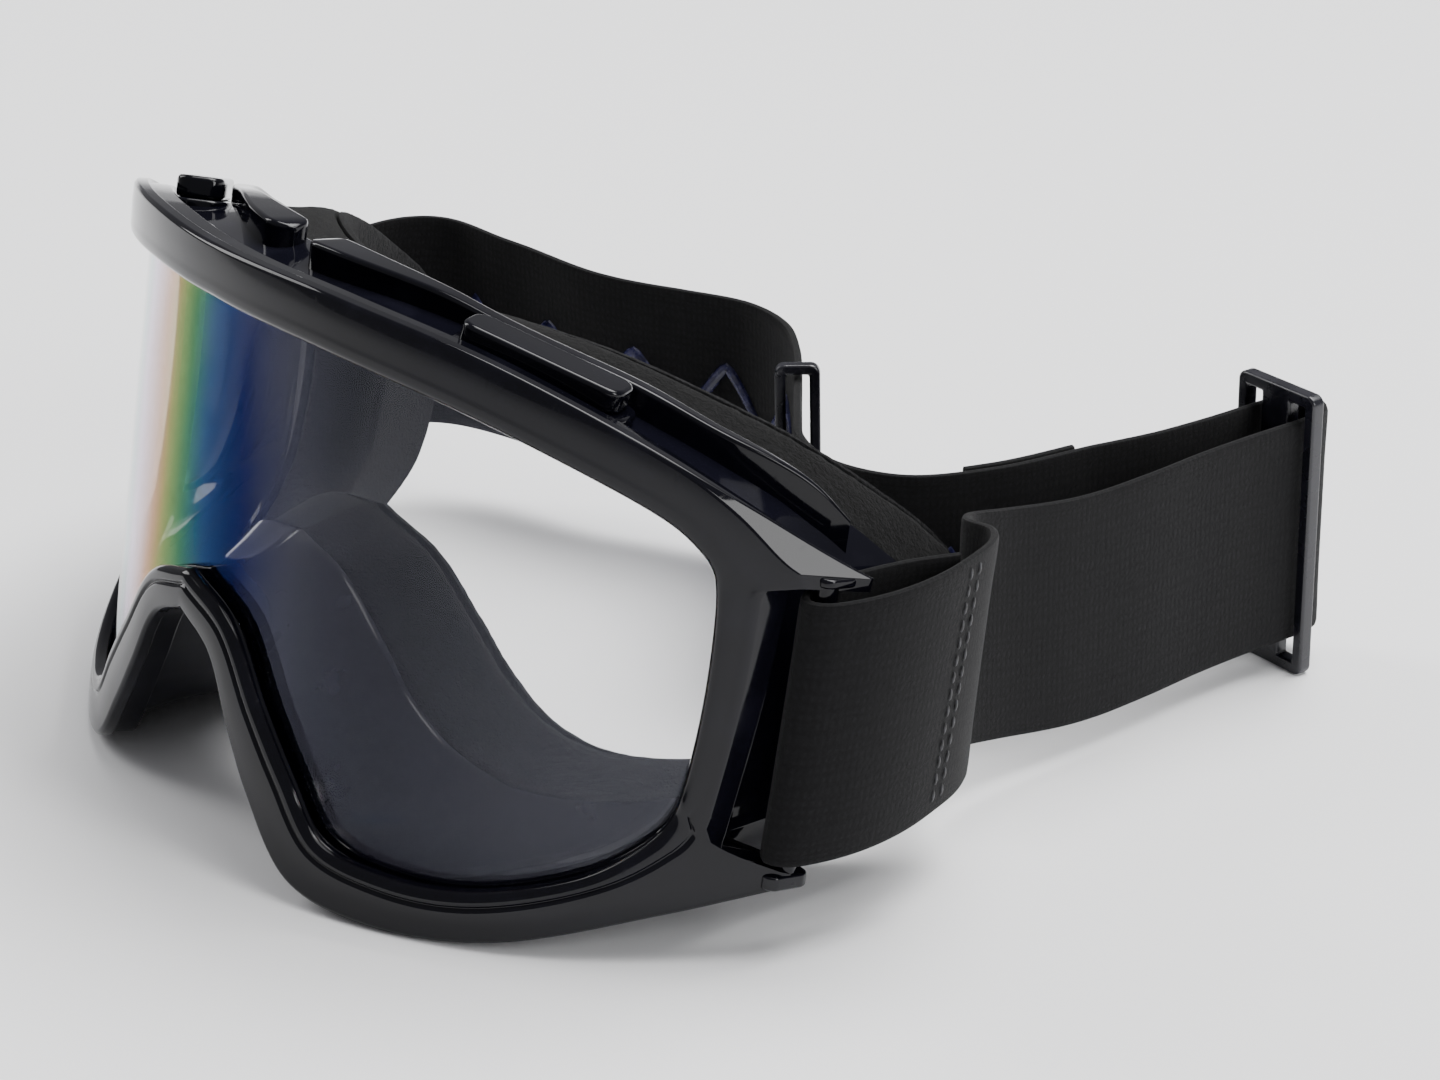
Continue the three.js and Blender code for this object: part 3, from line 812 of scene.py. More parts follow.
def between(a: tuple[float, float], b: tuple[float, float], t: float) -> tuple[float, float]:
    """The point at a share t of the way from a to b."""
    return (a[0] + (b[0] - a[0]) * t, a[1] + (b[1] - a[1]) * t)


# ---------------------------------------------------------- the front frame


@dataclass
class FrontFrame:
    """The glossy front band and the upright bars that its strap loops go round."""

    finishes: Finishes
    lip: float = 2.2
    groove: float = 0.5
    recess: tuple[float, float] = (22.0, 62.5)
    horn_tip: tuple[float, float] = (91.3, 65.2)
    bar_radius: float = 1.7
    bar_height: float = 46.0
    bar_place: tuple[float, float, float] = (86.2, 53.5, 41.6)
    arms: tuple = (((86, 54.6, 64.6), (4.8, 6.4, 1.4)), ((85.2, 53.1, 19.1), (6.4, 7.6, 2.2)))
    recess_side: float = 82.0
    horn_fade: float = 22.0
    facet_share: tuple[float, float] = (0.07, 0.4)
    facet_depth: tuple[float, float] = (0.5, 2.6)
    inner_bead: float = 2.9

    def facet(self, k: int) -> float:
        """How far the outer edge's small chamfer has grown into a facet: on the
        horn and along the strap's recess it takes two fifths of the band."""
        x, z = RING["frame_outer"][k]
        low, high = self.recess
        beside = 1.0 if low < z < high and abs(x) > self.recess_side else 0.0
        horn = ease(1, 0, math.dist((abs(x), z), self.horn_tip) / self.horn_fade) if z >= high else 0.0
        return max(beside, horn)

    def section(self, k: int) -> Section:
        """The band's section at one station.

        Args:
            k: the station round the ring.

        Returns:
            Its rounded corners in space.
        """
        outer, inner = RING["frame_outer"][k], RING["frame_inner"][k]
        width = math.dist(outer, inner)
        cut = self.facet(k)
        face = width * mix(*self.facet_share, cut)
        edge = mix(*self.facet_depth, cut)
        bead = max(width - self.inner_bead, face + 0.3 * (width - face))
        low = ease(0, 1, (70 - outer[1]) / 12) * (1 - ease(0, 1, cut * 2))
        step = (width - bead) / 4
        back = mix(self.lip, edge + 0.4, cut)
        corners = [
            (0.01 * width, edge), (face, 0.02), ((face + bead) / 2, -0.12), (bead, 0.0),
            (bead + step * 0.6, self.groove * low), (bead + step * 1.2, 0.0), (width - step, 0.15),
            (width, 1.1), (width, FRAME_FACE - 0.6), (0.9 * width, FRAME_FACE),
            (0.6 * width, FRAME_FACE), (0.6 * width, FRAME_DEPTH), (0.08 * width, FRAME_DEPTH),
            (0.07 * width, back + 0.2), (0.0, back),
        ]
        radii = [0.2, 0.25, 2.0, 0.3, 0.25, 0.25, 0.6, 0.5, 0.3, 0.3, 0.2, 0.3, 0.3, 0.15, 0.2]
        out = []
        for across, depth in rounded(corners, radii):
            x, z = between(outer, inner, across / width)
            out.append(on_front(x, z, depth))
        return out

    def band(self) -> None:
        """The front band itself."""
        bm = swept([self.section(k) for k in range(RING_COUNT)], Wrap.RING, RING_LENGTH, 30.0)
        obj = WORN.make(bm, "front_band")
        settle(obj, self.finishes.gloss, ["front_frame"], even=True)

    def wing(self, side: Side) -> None:
        """The bar behind one wing and the two arms that carry it.

        Args:
            side: which wing.
        """
        x, y, z = self.bar_place
        bm = bmesh.new()
        bmesh.ops.create_cone(bm, cap_ends=True, segments=32, radius1=self.bar_radius,
                              radius2=self.bar_radius, depth=self.bar_height,
                              matrix=Matrix.Translation((x, y, z)))
        for place, size in self.arms:
            arm = bevelled_block(size, 1.8, 0.4)
            bmesh.ops.translate(arm, vec=Vector(place), verts=arm.verts[:])
            mesh = bpy.data.meshes.new("arm")
            arm.to_mesh(mesh)
            arm.free()
            bm.from_mesh(mesh)
            bpy.data.meshes.remove(mesh)
        if side is Side.RIGHT:
            mirrored(bm)
        obj = WORN.make(bm, f"wing_bar_{side.label}")
        settle(obj, self.finishes.gloss, even=True)

    def build(self) -> None:
        """Builds the band and both wings' bars."""
        self.band()
        for side in Side:
            self.wing(side)


# ------------------------------------------------------------------ the lens


@dataclass
class Lens:
    """The clear wrap-round lens, held between the front frame and the shell."""

    finishes: Finishes
    edge: float = 0.22
    columns: int = 120
    rows: int = 12

    def outline(self) -> Outline:
        """Half of the lens's edge, a little outside the frame's opening."""
        inner, outer = RING["frame_inner"], RING["frame_outer"]
        return [between(inner[k], outer[k], self.edge) for k in range(RING_COUNT // 2 + 1)]

    @staticmethod
    def height(points: Outline, x: float) -> float:
        """Height of the edge above x on it.

        Args:
            points: the upper or lower edge.
            x: distance from the centre plane.

        Returns:
            The edge's z there.
        """
        for a, b in zip(points, points[1:]):
            if min(a[0], b[0]) <= x <= max(a[0], b[0]) and a[0] != b[0]:
                return a[1] + (b[1] - a[1]) * (x - a[0]) / (b[0] - a[0])
        return points[-1][1]

    def build(self) -> None:
        """Cuts the sheet, gives it its thickness and fits it."""
        half = self.outline()
        widest = max(range(len(half)), key=lambda k: half[k][0])
        upper, lower = half[:widest + 1], half[widest:]
        reach = half[widest][0] - FIT
        sections = []
        for i in range(self.columns + 1):
            x = math.sin((i / self.columns - 0.5) * math.pi) * reach
            top, bottom = self.height(upper, abs(x)), self.height(lower, abs(x))
            rows = [bottom + (top - bottom) * j / self.rows for j in range(self.rows + 1)]
            near = FRAME_FACE + FIT
            front = [on_front(x, z, near) for z in rows]
            back = [on_front(x, z, near + LENS_THICKNESS) for z in reversed(rows)]
            sections.append(front + back)
        bm = swept(sections, Wrap.TUBE, 200.0, 160.0)
        settle(WORN.make(bm, "lens_sheet"), self.finishes.lens, ["lens"])


# ------------------------------------------------------------ the face shell


@dataclass
class FaceShell:
    """The shell behind the frame, with its brow ridges, vent caps and filters."""

    finishes: Finishes
    widest: float = 83.0
    bow: float = 1.6
    ridge_inner: float = 84.0
    ridge_outer: float = 87.3
    ridge_swell: float = 3.6
    swell_end: float = 24.0
    ridge_angles: tuple[float, float] = (2.5, 63.0)
    ridge_nose: float = 0.035
    ridge_tip: float = 0.16
    ridge_stations: int = 90
    cap_size: tuple[float, float, float] = (26.0, 7.6, 3.6)
    cap_angle: float = 34.2
    cap_ring: float = 89.4
    cap_slope: float = 12.5
    cap_lift: float = 0.9
    plinth: tuple[float, float, float] = (3.2, 1.6, 4.0)
    filter_size: tuple[float, float, float] = (18.0, 5.0, 4.0)
    filter_lift: float = -6.4
    ridge_top: Outline = field(default_factory=lambda: [
        (0, 93.6), (9, 93.4), (19, 92.2), (26, 90.2), (41, 85.4), (49, 81), (55, 77.6),
        (59, 74.5), (63.5, 68.6),
    ])

    def front_point(self, k: int, across: float, depth: float) -> Vector:
        """A point of the shell's front edge, which follows the frame."""
        x, z = between(RING["frame_outer"][k], RING["frame_inner"][k], across)
        return on_front(max(-self.widest, min(self.widest, x)), z, depth)

    def section(self, k: int) -> Section:
        """The shell's section at one station: seat, bowed inner wall, rear edge
        and bowed outer wall."""
        seat = FRAME_FACE + LENS_THICKNESS + 2 * FIT
        front = [
            self.front_point(k, 0.34, FRAME_DEPTH + FIT), self.front_point(k, 0.66, FRAME_DEPTH + FIT),
            self.front_point(k, 0.72, seat), self.front_point(k, 0.95, seat),
            self.front_point(k, 0.97, seat + 1),
        ]
        inner, outer = RING["shell_inner"][k], RING["shell_outer"][k]
        rear = [on_arc(*inner, SHELL_REAR), on_arc(*outer, SHELL_REAR)]
        rear.insert(0, rear[0] - Vector((0, 1.2, 0)))
        rear.append(rear[-1] - Vector((0, 3.0, 0)))
        outwards = Vector((outer[0] - inner[0], 0, outer[1] - inner[1])).normalized()
        inside = self.wall(front[-1], rear[0], outwards * self.bow)
        outside = self.wall(rear[-1], front[0], outwards * -0.3)
        return [*self.softened(front, 0.25), *inside, *self.softened(rear, 0.4), *outside]

    @staticmethod
    def wall(start: Vector, stop: Vector, bow: Vector, count: int = 9) -> Section:
        """Points along a wall that bows between its two ends."""
        shares = [(i + 1) / (count + 1) for i in range(count)]
        return [start.lerp(stop, t) + bow * math.sin(math.pi * t) for t in shares]

    @staticmethod
    def softened(points: Section, radius: float) -> Section:
        """Three points in place of each inner corner of an open run of points."""
        out = [points[0]]
        for a, b, c in zip(points, points[1:], points[2:]):
            before = b + (a - b).normalized() * min(radius, (a - b).length * 0.4)
            after = b + (c - b).normalized() * min(radius, (c - b).length * 0.4)
            out += [before, (before + after + b * 2) / 4, after]
        return [*out, points[-1]]

    def top(self, angle: float) -> float:
        """Height of a brow ridge's top at an angle."""
        curve = SmoothCurve(self.ridge_top)
        low, high = 0.0, 1.0
        for _ in range(30):
            middle = (low + high) / 2
            if curve.at(middle).x < angle:
                low = middle
            else:
                high = middle
        return curve.at(low).y

    def ridge_section(self, share: float) -> Section:
        """A brow ridge's section: an upright wall with a soft crown, round at its
        inner end and drawn to a point at the temple."""
        first, last = self.ridge_angles
        angle = mix(first, last, share)
        blunt = math.sqrt(max(1 - max(1 - share / self.ridge_nose, 0) ** 2, 0.0))
        point = mix(1, self.ridge_tip, (share - 0.8) / 0.2)
        swell = self.ridge_swell * ease(1, 0, (angle - first) / (self.swell_end - first))
        front = self.ridge_outer + swell
        half = (front - self.ridge_inner) / 2 * max(blunt, 0.04) * point
        crown = self.top(angle) - (1 - blunt) * 0.9
        foot = crown - 12 + 6 * share
        corners = [(-half, foot), (half, foot), (half, crown), (-half, crown)]
        middle = (self.ridge_inner + front) / 2
        outline = rounded(corners, [0.1, 0.1, 0.8, 0.8], 4)
        return [on_face(angle, middle - out, z) for out, z in outline]

    def ridge(self, side: Side) -> None:
        """One brow ridge."""
        shares = [(i / self.ridge_stations) ** 1.15 for i in range(self.ridge_stations + 1)]
        bm = swept([self.ridge_section(s) for s in shares], Wrap.TUBE, 90.0, 20.0)
        if side is Side.RIGHT:
            mirrored(bm)
        settle(WORN.make(bm, f"brow_ridge_{side.label}"), self.finishes.gloss, even=True)

    def channel_matrix(self, lift: float) -> Matrix:
        """Where something stands on the brow channel above the left eye."""
        angle = math.radians(self.cap_angle)
        r = self.cap_ring
        place = Vector((r * math.sin(angle), FRONT_RADIUS - r * math.cos(angle),
                        self.top(self.cap_angle) + lift))
        slope = Matrix.Rotation(math.radians(self.cap_slope), 4, "Y")
        return Matrix.Translation(place) @ Matrix.Rotation(angle, 4, "Z") @ slope

    def on_channel(self, bm: bmesh.types.BMesh, side: Side, lift: float, name: str) -> bpy.types.Object:
        """Stands a mesh on the brow channel above one eye."""
        bmesh.ops.transform(bm, matrix=self.channel_matrix(lift), verts=bm.verts[:])
        if side is Side.RIGHT:
            mirrored(bm)
        return WORN.make(bm, name)

    def cap(self, side: Side) -> None:
        """A vent cap: a flat-topped lid with an arched notch in its outer end, on a
        low plinth that is part of the channel."""
        length, width, height = self.cap_size
        bm = bevelled_block(self.cap_size, 2.6, 0.75)
        ends = [f for f in bm.faces if f.normal.x > 0.95 and f.calc_area() > 2]
        notch = bmesh.ops.inset_region(bm, faces=ends, thickness=0.7, depth=-0.6)
        soften(bm, list({e for f in notch["faces"] for e in f.edges}), 0.12, 2, clamp=False)
        bmesh.ops.translate(bm, vec=Vector((0, 0, -height / 2)), verts=bm.verts[:])
        obj = self.on_channel(bm, side, self.cap_lift, f"vent_lid_{side.label}")
        settle(obj, self.finishes.gloss, [f"vent_cap_{side.label}"], even=True)

        more_length, more_width, rise = self.plinth
        plinth = bevelled_block((length + more_length, width + more_width, rise), 3.2, 0.6)
        bmesh.ops.translate(plinth, vec=Vector((0, 0, -height - rise / 2)), verts=plinth.verts[:])
        base = self.on_channel(plinth, side, self.cap_lift, f"vent_plinth_{side.label}")
        settle(base, self.finishes.gloss, even=True)

    def filter(self, side: Side) -> None:
        """The foam block that filters the air under a vent cap."""
        bm = bevelled_block(self.filter_size, 0.8, 0.4)
        obj = self.on_channel(bm, side, self.filter_lift, f"filter_block_{side.label}")
        settle(obj, self.finishes.filter, [f"vent_filter_{side.label}"])

    def build(self) -> None:
        """Builds the shell and everything that stands on it."""
        bm = swept([self.section(k) for k in range(RING_COUNT)], Wrap.RING, RING_LENGTH, 60.0)
        obj = WORN.make(bm, "shell_body")
        settle(obj, self.finishes.shell, ["face_shell"], even=True)
        for side in Side:
            self.ridge(side)
            self.cap(side)
            self.filter(side)


# ------------------------------------------------------------- the face seal


@dataclass
class FaceSeal:
    """The foam ring that meets the face, with its fleece facing."""

    finishes: Finishes
    rails: int = 60
    foam_lumps: tuple[float, float] = (1.7, 0.16)
    fleece_lumps: tuple[float, float] = (1.2, 0.1)
    facing: float = 1.5

    @staticmethod
    def towards(name: str, partner: str, k: int, step: float) -> tuple[float, float]:
        """A point of one outline, moved a few millimetres towards another."""
        here, there = RING[name][k], RING[partner][k]
        return between(here, there, step / math.dist(here, there))

    def profile(self, k: int) -> Callable[[float, float], Vector]:
        """A map from (across, back) at one station to a place: across runs from the
        outer wall to the inner, and back from the shell to the face."""
        front_outer = self.towards("shell_outer", "shell_inner", k, 0.8)
        front_inner = self.towards("shell_inner", "shell_outer", k, 0.4)
        rear_outer, rear_inner = RING["foam_outer"][k], RING["foam_inner"][k]

        def place(across: float, back: float) -> Vector:
            """The place for these shares."""
            front = on_arc(*between(front_outer, front_inner, across), FOAM_FRONT)
            rear = on_arc(*between(rear_outer, rear_inner, across), FOAM_REAR)
            return front.lerp(rear, back)

        return place

    def section(self, k: int) -> Section:
        """The foam's section at one station: flat on the shell, soft at the face."""
        corners = [(0.0, 0.0), (-0.03, 0.5), (0.0, 0.86), (0.14, 1.0), (0.86, 1.0), (1.0, 0.86),
                   (1.03, 0.5), (1.0, 0.0)]
        outline = rounded(corners, [0.02, 0.3, 0.2, 0.12, 0.12, 0.2, 0.3, 0.02], 4)
        place = self.profile(k)
        return [place(across, back) for across, back in evened(outline, self.rails)]

    @staticmethod
    def roughen(bm: bmesh.types.BMesh, size: float, height: float) -> None:
        """Gives a soft mesh the small lumps of its nap.

        Args:
            bm: the mesh, in millimetres.
            size: distance between lumps.
            height: how far they stand out.
        """
        bm.normal_update()
        for vert in bm.verts:
            lump = noise.noise(vert.co / size) + 0.5 * noise.noise(vert.co / (size * 0.37))
            vert.co = vert.co + vert.normal * lump * height

    def foam(self) -> None:
        """The foam ring."""
        bm = swept([self.section(k) for k in range(RING_COUNT)], Wrap.RING, RING_LENGTH, 60.0)
        self.roughen(bm, *self.foam_lumps)
        obj = settle(WORN.make(bm, "seal_foam"), self.finishes.foam, ["face_foam"])
        for edge in obj.data.edges:
            edge.use_edge_sharp = False

    def facing_section(self, k: int) -> Section:
        """The fleece's section: a thin crowned layer over the foam's rear."""
        outline = rounded([(0.1, 0.0), (0.12, 1.0), (0.5, 1.25), (0.88, 1.0), (0.9, 0.0)],
                          [0.1, 0.3, 0.2, 0.3, 0.1], 3)
        rear_outer, rear_inner = RING["foam_outer"][k], RING["foam_inner"][k]
        out = []
        for across, lift in evened(outline, 36):
            spot = on_arc(*between(rear_outer, rear_inner, across), FOAM_REAR)
            out.append(spot + Vector((0, 0.3 + lift * self.facing, 0)))
        return out

    def fleece(self) -> None:
        """The fleece facing."""
        sections = [self.facing_section(k) for k in range(RING_COUNT)]
        bm = swept(sections, Wrap.RING, RING_LENGTH, 30.0)
        self.roughen(bm, *self.fleece_lumps)
        obj = settle(WORN.make(bm, "seal_fleece"), self.finishes.fleece, ["foam_facing"])

    def build(self) -> None:
        """Builds the foam and its facing."""
        self.foam()
        self.fleece()


# ----------------------------------------------------------------- the strap

# Where the strap runs in plan, along its lower edge, in millimetres. A wing loop
# starts at its sewn tail, goes forward inside, round the wing bar and back outside.
LOOP: Outline = [
    (86.9, 80), (84.4, 73), (83, 65), (82.9, 58.4), (84.2, 54.3), (86.4, 53.1), (88.9, 54.6),
    (90.8, 59.5), (91.6, 66), (91, 73), (89.1, 80),
]
NEAR_STRAND: Outline = [
    (85.6, 88), (80, 94.5), (73, 98), (69.2, 103), (67.6, 112), (67.2, 128), (66.4, 145),
    (65.4, 156), (65, 166), (65, 174), (64.9, 180),
]
HAIRPIN: Outline = [
    (63.8, 184.3), (60.1, 186.4), (56.4, 184.3), (55.3, 180), (55.2, 174), (55.1, 166),
    (54.4, 156), (53, 148),
]
FAR_STRAND: Outline = [
    (52.2, 144), (50, 126), (44.5, 112), (34, 106), (24, 107.2), (15, 113), (-5, 128), (-15, 133),
    (-26, 133.4), (-38, 128), (-54, 120), (-74, 114), (-86, 106), (-90.6, 95), (-90.6, 87),
]


STRAP_WIDTH = 39.5


@dataclass
class Route:
    """One stretch of the strap: its path in plan, its height and its lean."""

    points: Outline
    foot: Callable[[float], float]
    tilt: Callable[[float], float]

    def __post_init__(self) -> None:
        """Measures the path."""
        self.curve = SmoothCurve(self.points)
        self.length = self.curve.measure()

    def point(self, share: float, up: float, out: float) -> Vector:
        """A point on the strap.

        Args:
            share: how far along it, from 0 to 1.
            up: height above its lower edge.
            out: distance to the left of its middle.

        Returns:
            The place, in millimetres.
        """
        at, heading = self.curve.along(share), self.curve.heading(share)
        lean = self.tilt(share) * up / STRAP_WIDTH
        return Vector((at.x - heading.y * out, at.y + lean + heading.x * out, self.foot(share) + up))


@dataclass
class Strap:
    """The elastic strap: two stretches of band, their seams, grip lines and end."""

    finishes: Finishes
    thickness: float = 1.5
    bar_foot: float = 11.9
    slider_foot: float = 2.6
    far_foot: float = 7.0
    loop_tilt: float = 8.0

    def __post_init__(self) -> None:
        """Lays out the two routes."""
        far_loop = [(-x, y) for x, y in reversed(LOOP)]
        self.near = Route(
            [*LOOP, *NEAR_STRAND, *HAIRPIN],
            lambda s: ease(self.bar_foot, self.slider_foot, (s - 0.27) / 0.3),
            lambda s: ease(self.loop_tilt, 0, (s - 0.27) / 0.2),
        )
        self.far = Route(
            [HAIRPIN[-1], *FAR_STRAND, *far_loop],
            lambda s: ease(self.slider_foot, self.far_foot, s / 0.5)
            + ease(0, self.bar_foot - self.far_foot, (s - 0.5) / 0.25),
            lambda s: ease(0, self.loop_tilt, (s - 0.62) / 0.12),
        )

    def band_outline(self, bulge: float) -> Outline:
        """A band's section as (out, up), with a slightly thicker selvedge."""
        half, edge = self.thickness / 2, 0.1
        levels = [2.0, 9.0, 16.0, 23.5, 30.5, STRAP_WIDTH - 2.0]
        side = [(half - (0.12 if 3 < z < STRAP_WIDTH - 3 else 0) + bulge, z) for z in levels]
        other = [(-x + 2 * bulge, z) for x, z in reversed(side)]
        foot = [(-half * 0.9, edge), (half * 0.9, edge)]
        head = [(half * 0.9, STRAP_WIDTH - edge), (-half * 0.9, STRAP_WIDTH - edge)]
        corners = [*foot, *side, *head, *other]
        return rounded(corners, [0.7] * 2 + [2.0] * 6 + [0.7] * 2 + [2.0] * 6, 2)

    def band(
        self, route: Route, start: float, stop: float, name: str, offset: float = 0.0,
    ) -> bpy.types.Object:
        """Makes a stretch of band.

        Args:
            route: where it runs.
            start: share of the route where it starts.
            stop: share of the route where it stops.
            name: the piece's name.
            offset: distance to the left of the route.

        Returns:
            The band, not yet dressed.
        """
        length = route.length * (stop - start)
        count = max(int(length / 1.2), 12)
        sections = []
        for i in range(count + 1):
            share = mix(start, stop, i / count)
            bulge = 0.14 * noise.noise(Vector((share * route.length / 14, 3.1, 0)))
            outline = self.band_outline(bulge)
            sections.append([route.point(share, up, out + offset) for out, up in outline])
        return TABLE.make(swept(sections, Wrap.TUBE, length, 2 * STRAP_WIDTH), name)

    def stitches(self, route: Route, share: float, offset: float, name: str) -> bpy.types.Object:
        """A double row of stitches across the band.

        Args:
            route: the band it closes.
            share: where along it.
            offset: distance to the left of the route.
            name: the piece's name.

        Returns:
            The stitches as one object.
        """
        bm = bmesh.new()
        pitch, length, margin, row_gap = 2.6, 1.9, 2.4, 2.4
        for row in (0.0, row_gap / route.length):
            for k in range(int((STRAP_WIDTH - 3) / pitch)):
                up = margin + k * pitch
                low = route.point(share + row, up, offset)
                high = route.point(share + row, up + length, offset)
                axis = (high - low).to_track_quat("Z", "Y").to_matrix().to_4x4()
                size = Matrix.Diagonal((0.27, 0.27, (high - low).length / 2, 1))
                matrix = Matrix.Translation((low + high) / 2) @ axis @ size
                bmesh.ops.create_icosphere(bm, subdivisions=2, radius=1.0, matrix=matrix)
        return TABLE.make(bm, name)

    def grip(self, route: Route, start: float, stop: float, turns: int, name: str) -> bpy.types.Object:
        """The raised silicone zigzag that keeps the strap from slipping.

        Args:
            route: the band it is printed on.
            start: share of the route where it starts.
            stop: share of the route where it stops.
            turns: whole zigzags.
            name: the piece's name.

        Returns:
            The bead.
        """
        swing, bead, rise = 11.0, 1.0, 0.62
        surface = self.thickness / 2 - 0.05
        length = route.length * (stop - start)

        def spot(t: float) -> tuple[float, float]:
            """Share of the route and height of the bead's middle."""
            phase = (t * turns) % 1
            wave = math.asin(math.cos(2 * math.pi * phase) * 0.985) / math.asin(0.985)
            return mix(start, stop, t), STRAP_WIDTH / 2 + wave * swing / 2 + 1.0

        count = turns * 28
        sections = []
        for i in range(count + 1):
            share, up = spot(i / count)
            a, b = spot(max(i - 1, 0) / count), spot(min(i + 1, count) / count)
            run = Vector(((b[0] - a[0]) * route.length, b[1] - a[1])).normalized()
            ring = []
            for j in range(10):
                turn = 2 * math.pi * j / 10
                across = bead * math.cos(turn)
                out = surface + max(rise * math.sin(turn), -0.15)
                ring.append(route.point(share - run.y * across / route.length, up + run.x * across, out))
            sections.append(ring)
        return TABLE.make(swept(sections, Wrap.TUBE, length, 4.0), name)

    def stretch(self, obj: bpy.types.Object) -> None:
        """Bakes a piece of the far strand's placement into its mesh; the strand ends that it works out are
        not used.
        """
        height = self.slider_foot + STRAP_WIDTH / 2
        start = TABLE.place(Vector((*HAIRPIN[-1], height)))
        end = TABLE.place(Vector((*FAR_STRAND[2], height)))
        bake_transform(obj)

    def build(self) -> None:
        """Builds the bands and everything sewn or printed on them."""
        webbing, thread, silicone = self.finishes.webbing, self.finishes.thread, self.finishes.silicone
        near = self.band(self.near, 0, 1, "strap_near_band")
        settle(near, webbing, ["strap_left"], "left_strap")
        far = self.band(self.far, 0, 1, "strap_far_band")
        self.stretch(settle(far, webbing, ["strap_right"], None))
        surface = self.thickness / 2 + 0.05
        left = self.stitches(self.near, 0.268, -surface, "seam_stitches_left")
        settle(left, thread, ["seam_thread_left"], "left_strap")
        right = self.stitches(self.far, 0.742, -surface, "seam_stitches_right")
        settle(right, thread, ["seam_thread_right"])
        bead = self.grip(self.near, 0.39, 0.66, 3, "grip_bead_left")
        settle(bead, silicone, ["grip_line_left"], "left_strap")
        bead = self.grip(self.far, 0.11, 0.66, 8, "grip_bead_right")
        self.stretch(settle(bead, silicone, ["grip_line_right"], None))
        beside = self.thickness + FIT
        tail = self.band(self.far, 0.024, 0.1, "strap_tail_band", -beside)
        self.stretch(settle(tail, webbing, ["strap_end"], None))
        sewn = self.stitches(self.far, 0.083, -beside - surface, "tail_stitches")
        self.stretch(settle(sewn, thread, ["end_thread"], None))


@dataclass
class Slider:
    """A flat upright slider plate with one or two slots for the strap."""

    finishes: Finishes
    name: str
    node: str
    body: str
    place: tuple[float, float, float]
    slots: tuple[float, ...]
    height: float
    slot: float
    wall: float
    bar: float
    turn: float = 0.0
    corner: float = 1.6
    edge: float = 0.5

    def build(self) -> None:
        """Cuts the plate across, opens its slots and softens every edge."""
        outer = max(abs(x) for x in self.slots) + self.slot / 2 + self.wall
        inside = self.height / 2 - self.wall
        bm = bmesh.new()
        bmesh.ops.create_cube(bm, size=1.0)
        bmesh.ops.scale(bm, vec=Vector((2 * outer, self.bar, self.height)), verts=bm.verts[:])
        cuts = [(Vector((x + side * self.slot / 2, 0, 0)), Vector((1, 0, 0)))
                for x in self.slots for side in (-1, 1)]
        cuts += [(Vector((0, 0, side * inside)), Vector((0, 0, 1))) for side in (-1, 1)]
        for place, normal in cuts:
            bmesh.ops.bisect_plane(bm, geom=[*bm.verts, *bm.edges, *bm.faces], plane_co=place,
                                   plane_no=normal, dist=1e-5)
        corners = [e for e in bm.edges if e.calc_length() > self.bar * 0.9
                   and all(abs(v.co.x) > outer - 1e-4 and abs(v.co.z) > self.height / 2 - 1e-4
                           for v in e.verts)]
        for x in self.slots:
            windows = [f for f in bm.faces if abs(f.normal.y) > 0.9
                       and abs(f.calc_center_median().x - x) < self.slot / 2
                       and abs(f.calc_center_median().z) < inside]
            rims = [e for f in windows for e in f.edges]
            bmesh.ops.delete(bm, geom=windows, context="FACES_ONLY")
            bmesh.ops.bridge_loops(bm, edges=[e for e in set(rims) if e.is_valid])
        corners = [e for e in corners if e.is_valid]
        soften(bm, corners, self.corner, 5, clamp=False)
        bm.normal_update()
        edges = [e for e in bm.edges if e.is_manifold and e.calc_face_angle(0.0) > 1.0]
        soften(bm, edges, self.edge, 3)
        bmesh.ops.recalc_face_normals(bm, faces=bm.faces[:])
        matrix = Matrix.Translation(self.place) @ Matrix.Rotation(math.radians(self.turn), 4, "Z")
        bmesh.ops.transform(bm, matrix=matrix, verts=bm.verts[:])
        obj = TABLE.make(bm, self.name)
        settle(obj, self.finishes.nylon, [self.node], self.body, even=True)


def build_sliders(finishes: Finishes) -> None:
    """Builds the rear slider, which joins the strap's layers, and the side slider."""
    Slider(finishes, "slider_rear_plate", "slider_rear", "rear_slider",
           place=(REAR_SLIDER_X, REAR_SLIDER_Y, 25 + TABLE_LEVEL), slots=(-4.9, 4.9), height=50.0,
           slot=3.4, wall=2.2, bar=2.6).build()
    Slider(finishes, "slider_side_plate", "slider_side", "side_slider", place=(5.0, 120.6, 25.2),
           slots=(0.0,), height=44.4, slot=4.0, wall=1.8, bar=2.2, turn=53.0).build()


# ---------------------------------------------------------------- the studio


@dataclass(frozen=True)
class Softbox:
    """A soft area light that hangs somewhere and faces the goggles."""

    name: str
    place: tuple[float, float, float]
    size: tuple[float, float]
    power: float
    aim: tuple[float, float, float] = (0.0, 0.0, 0.04)

    def hang(self) -> None:
        """Adds the light."""
        light = bpy.data.lights.new(self.name, "AREA")
        light.shape = "RECTANGLE"
        light.size, light.size_y = self.size
        light.energy = self.power
        obj = bpy.data.objects.new(self.name, light)
        obj.location = self.place
        facing = Vector(self.aim) - Vector(self.place)
        obj.rotation_euler = facing.to_track_quat("-Z", "Y").to_euler()
        bpy.context.collection.objects.link(obj)


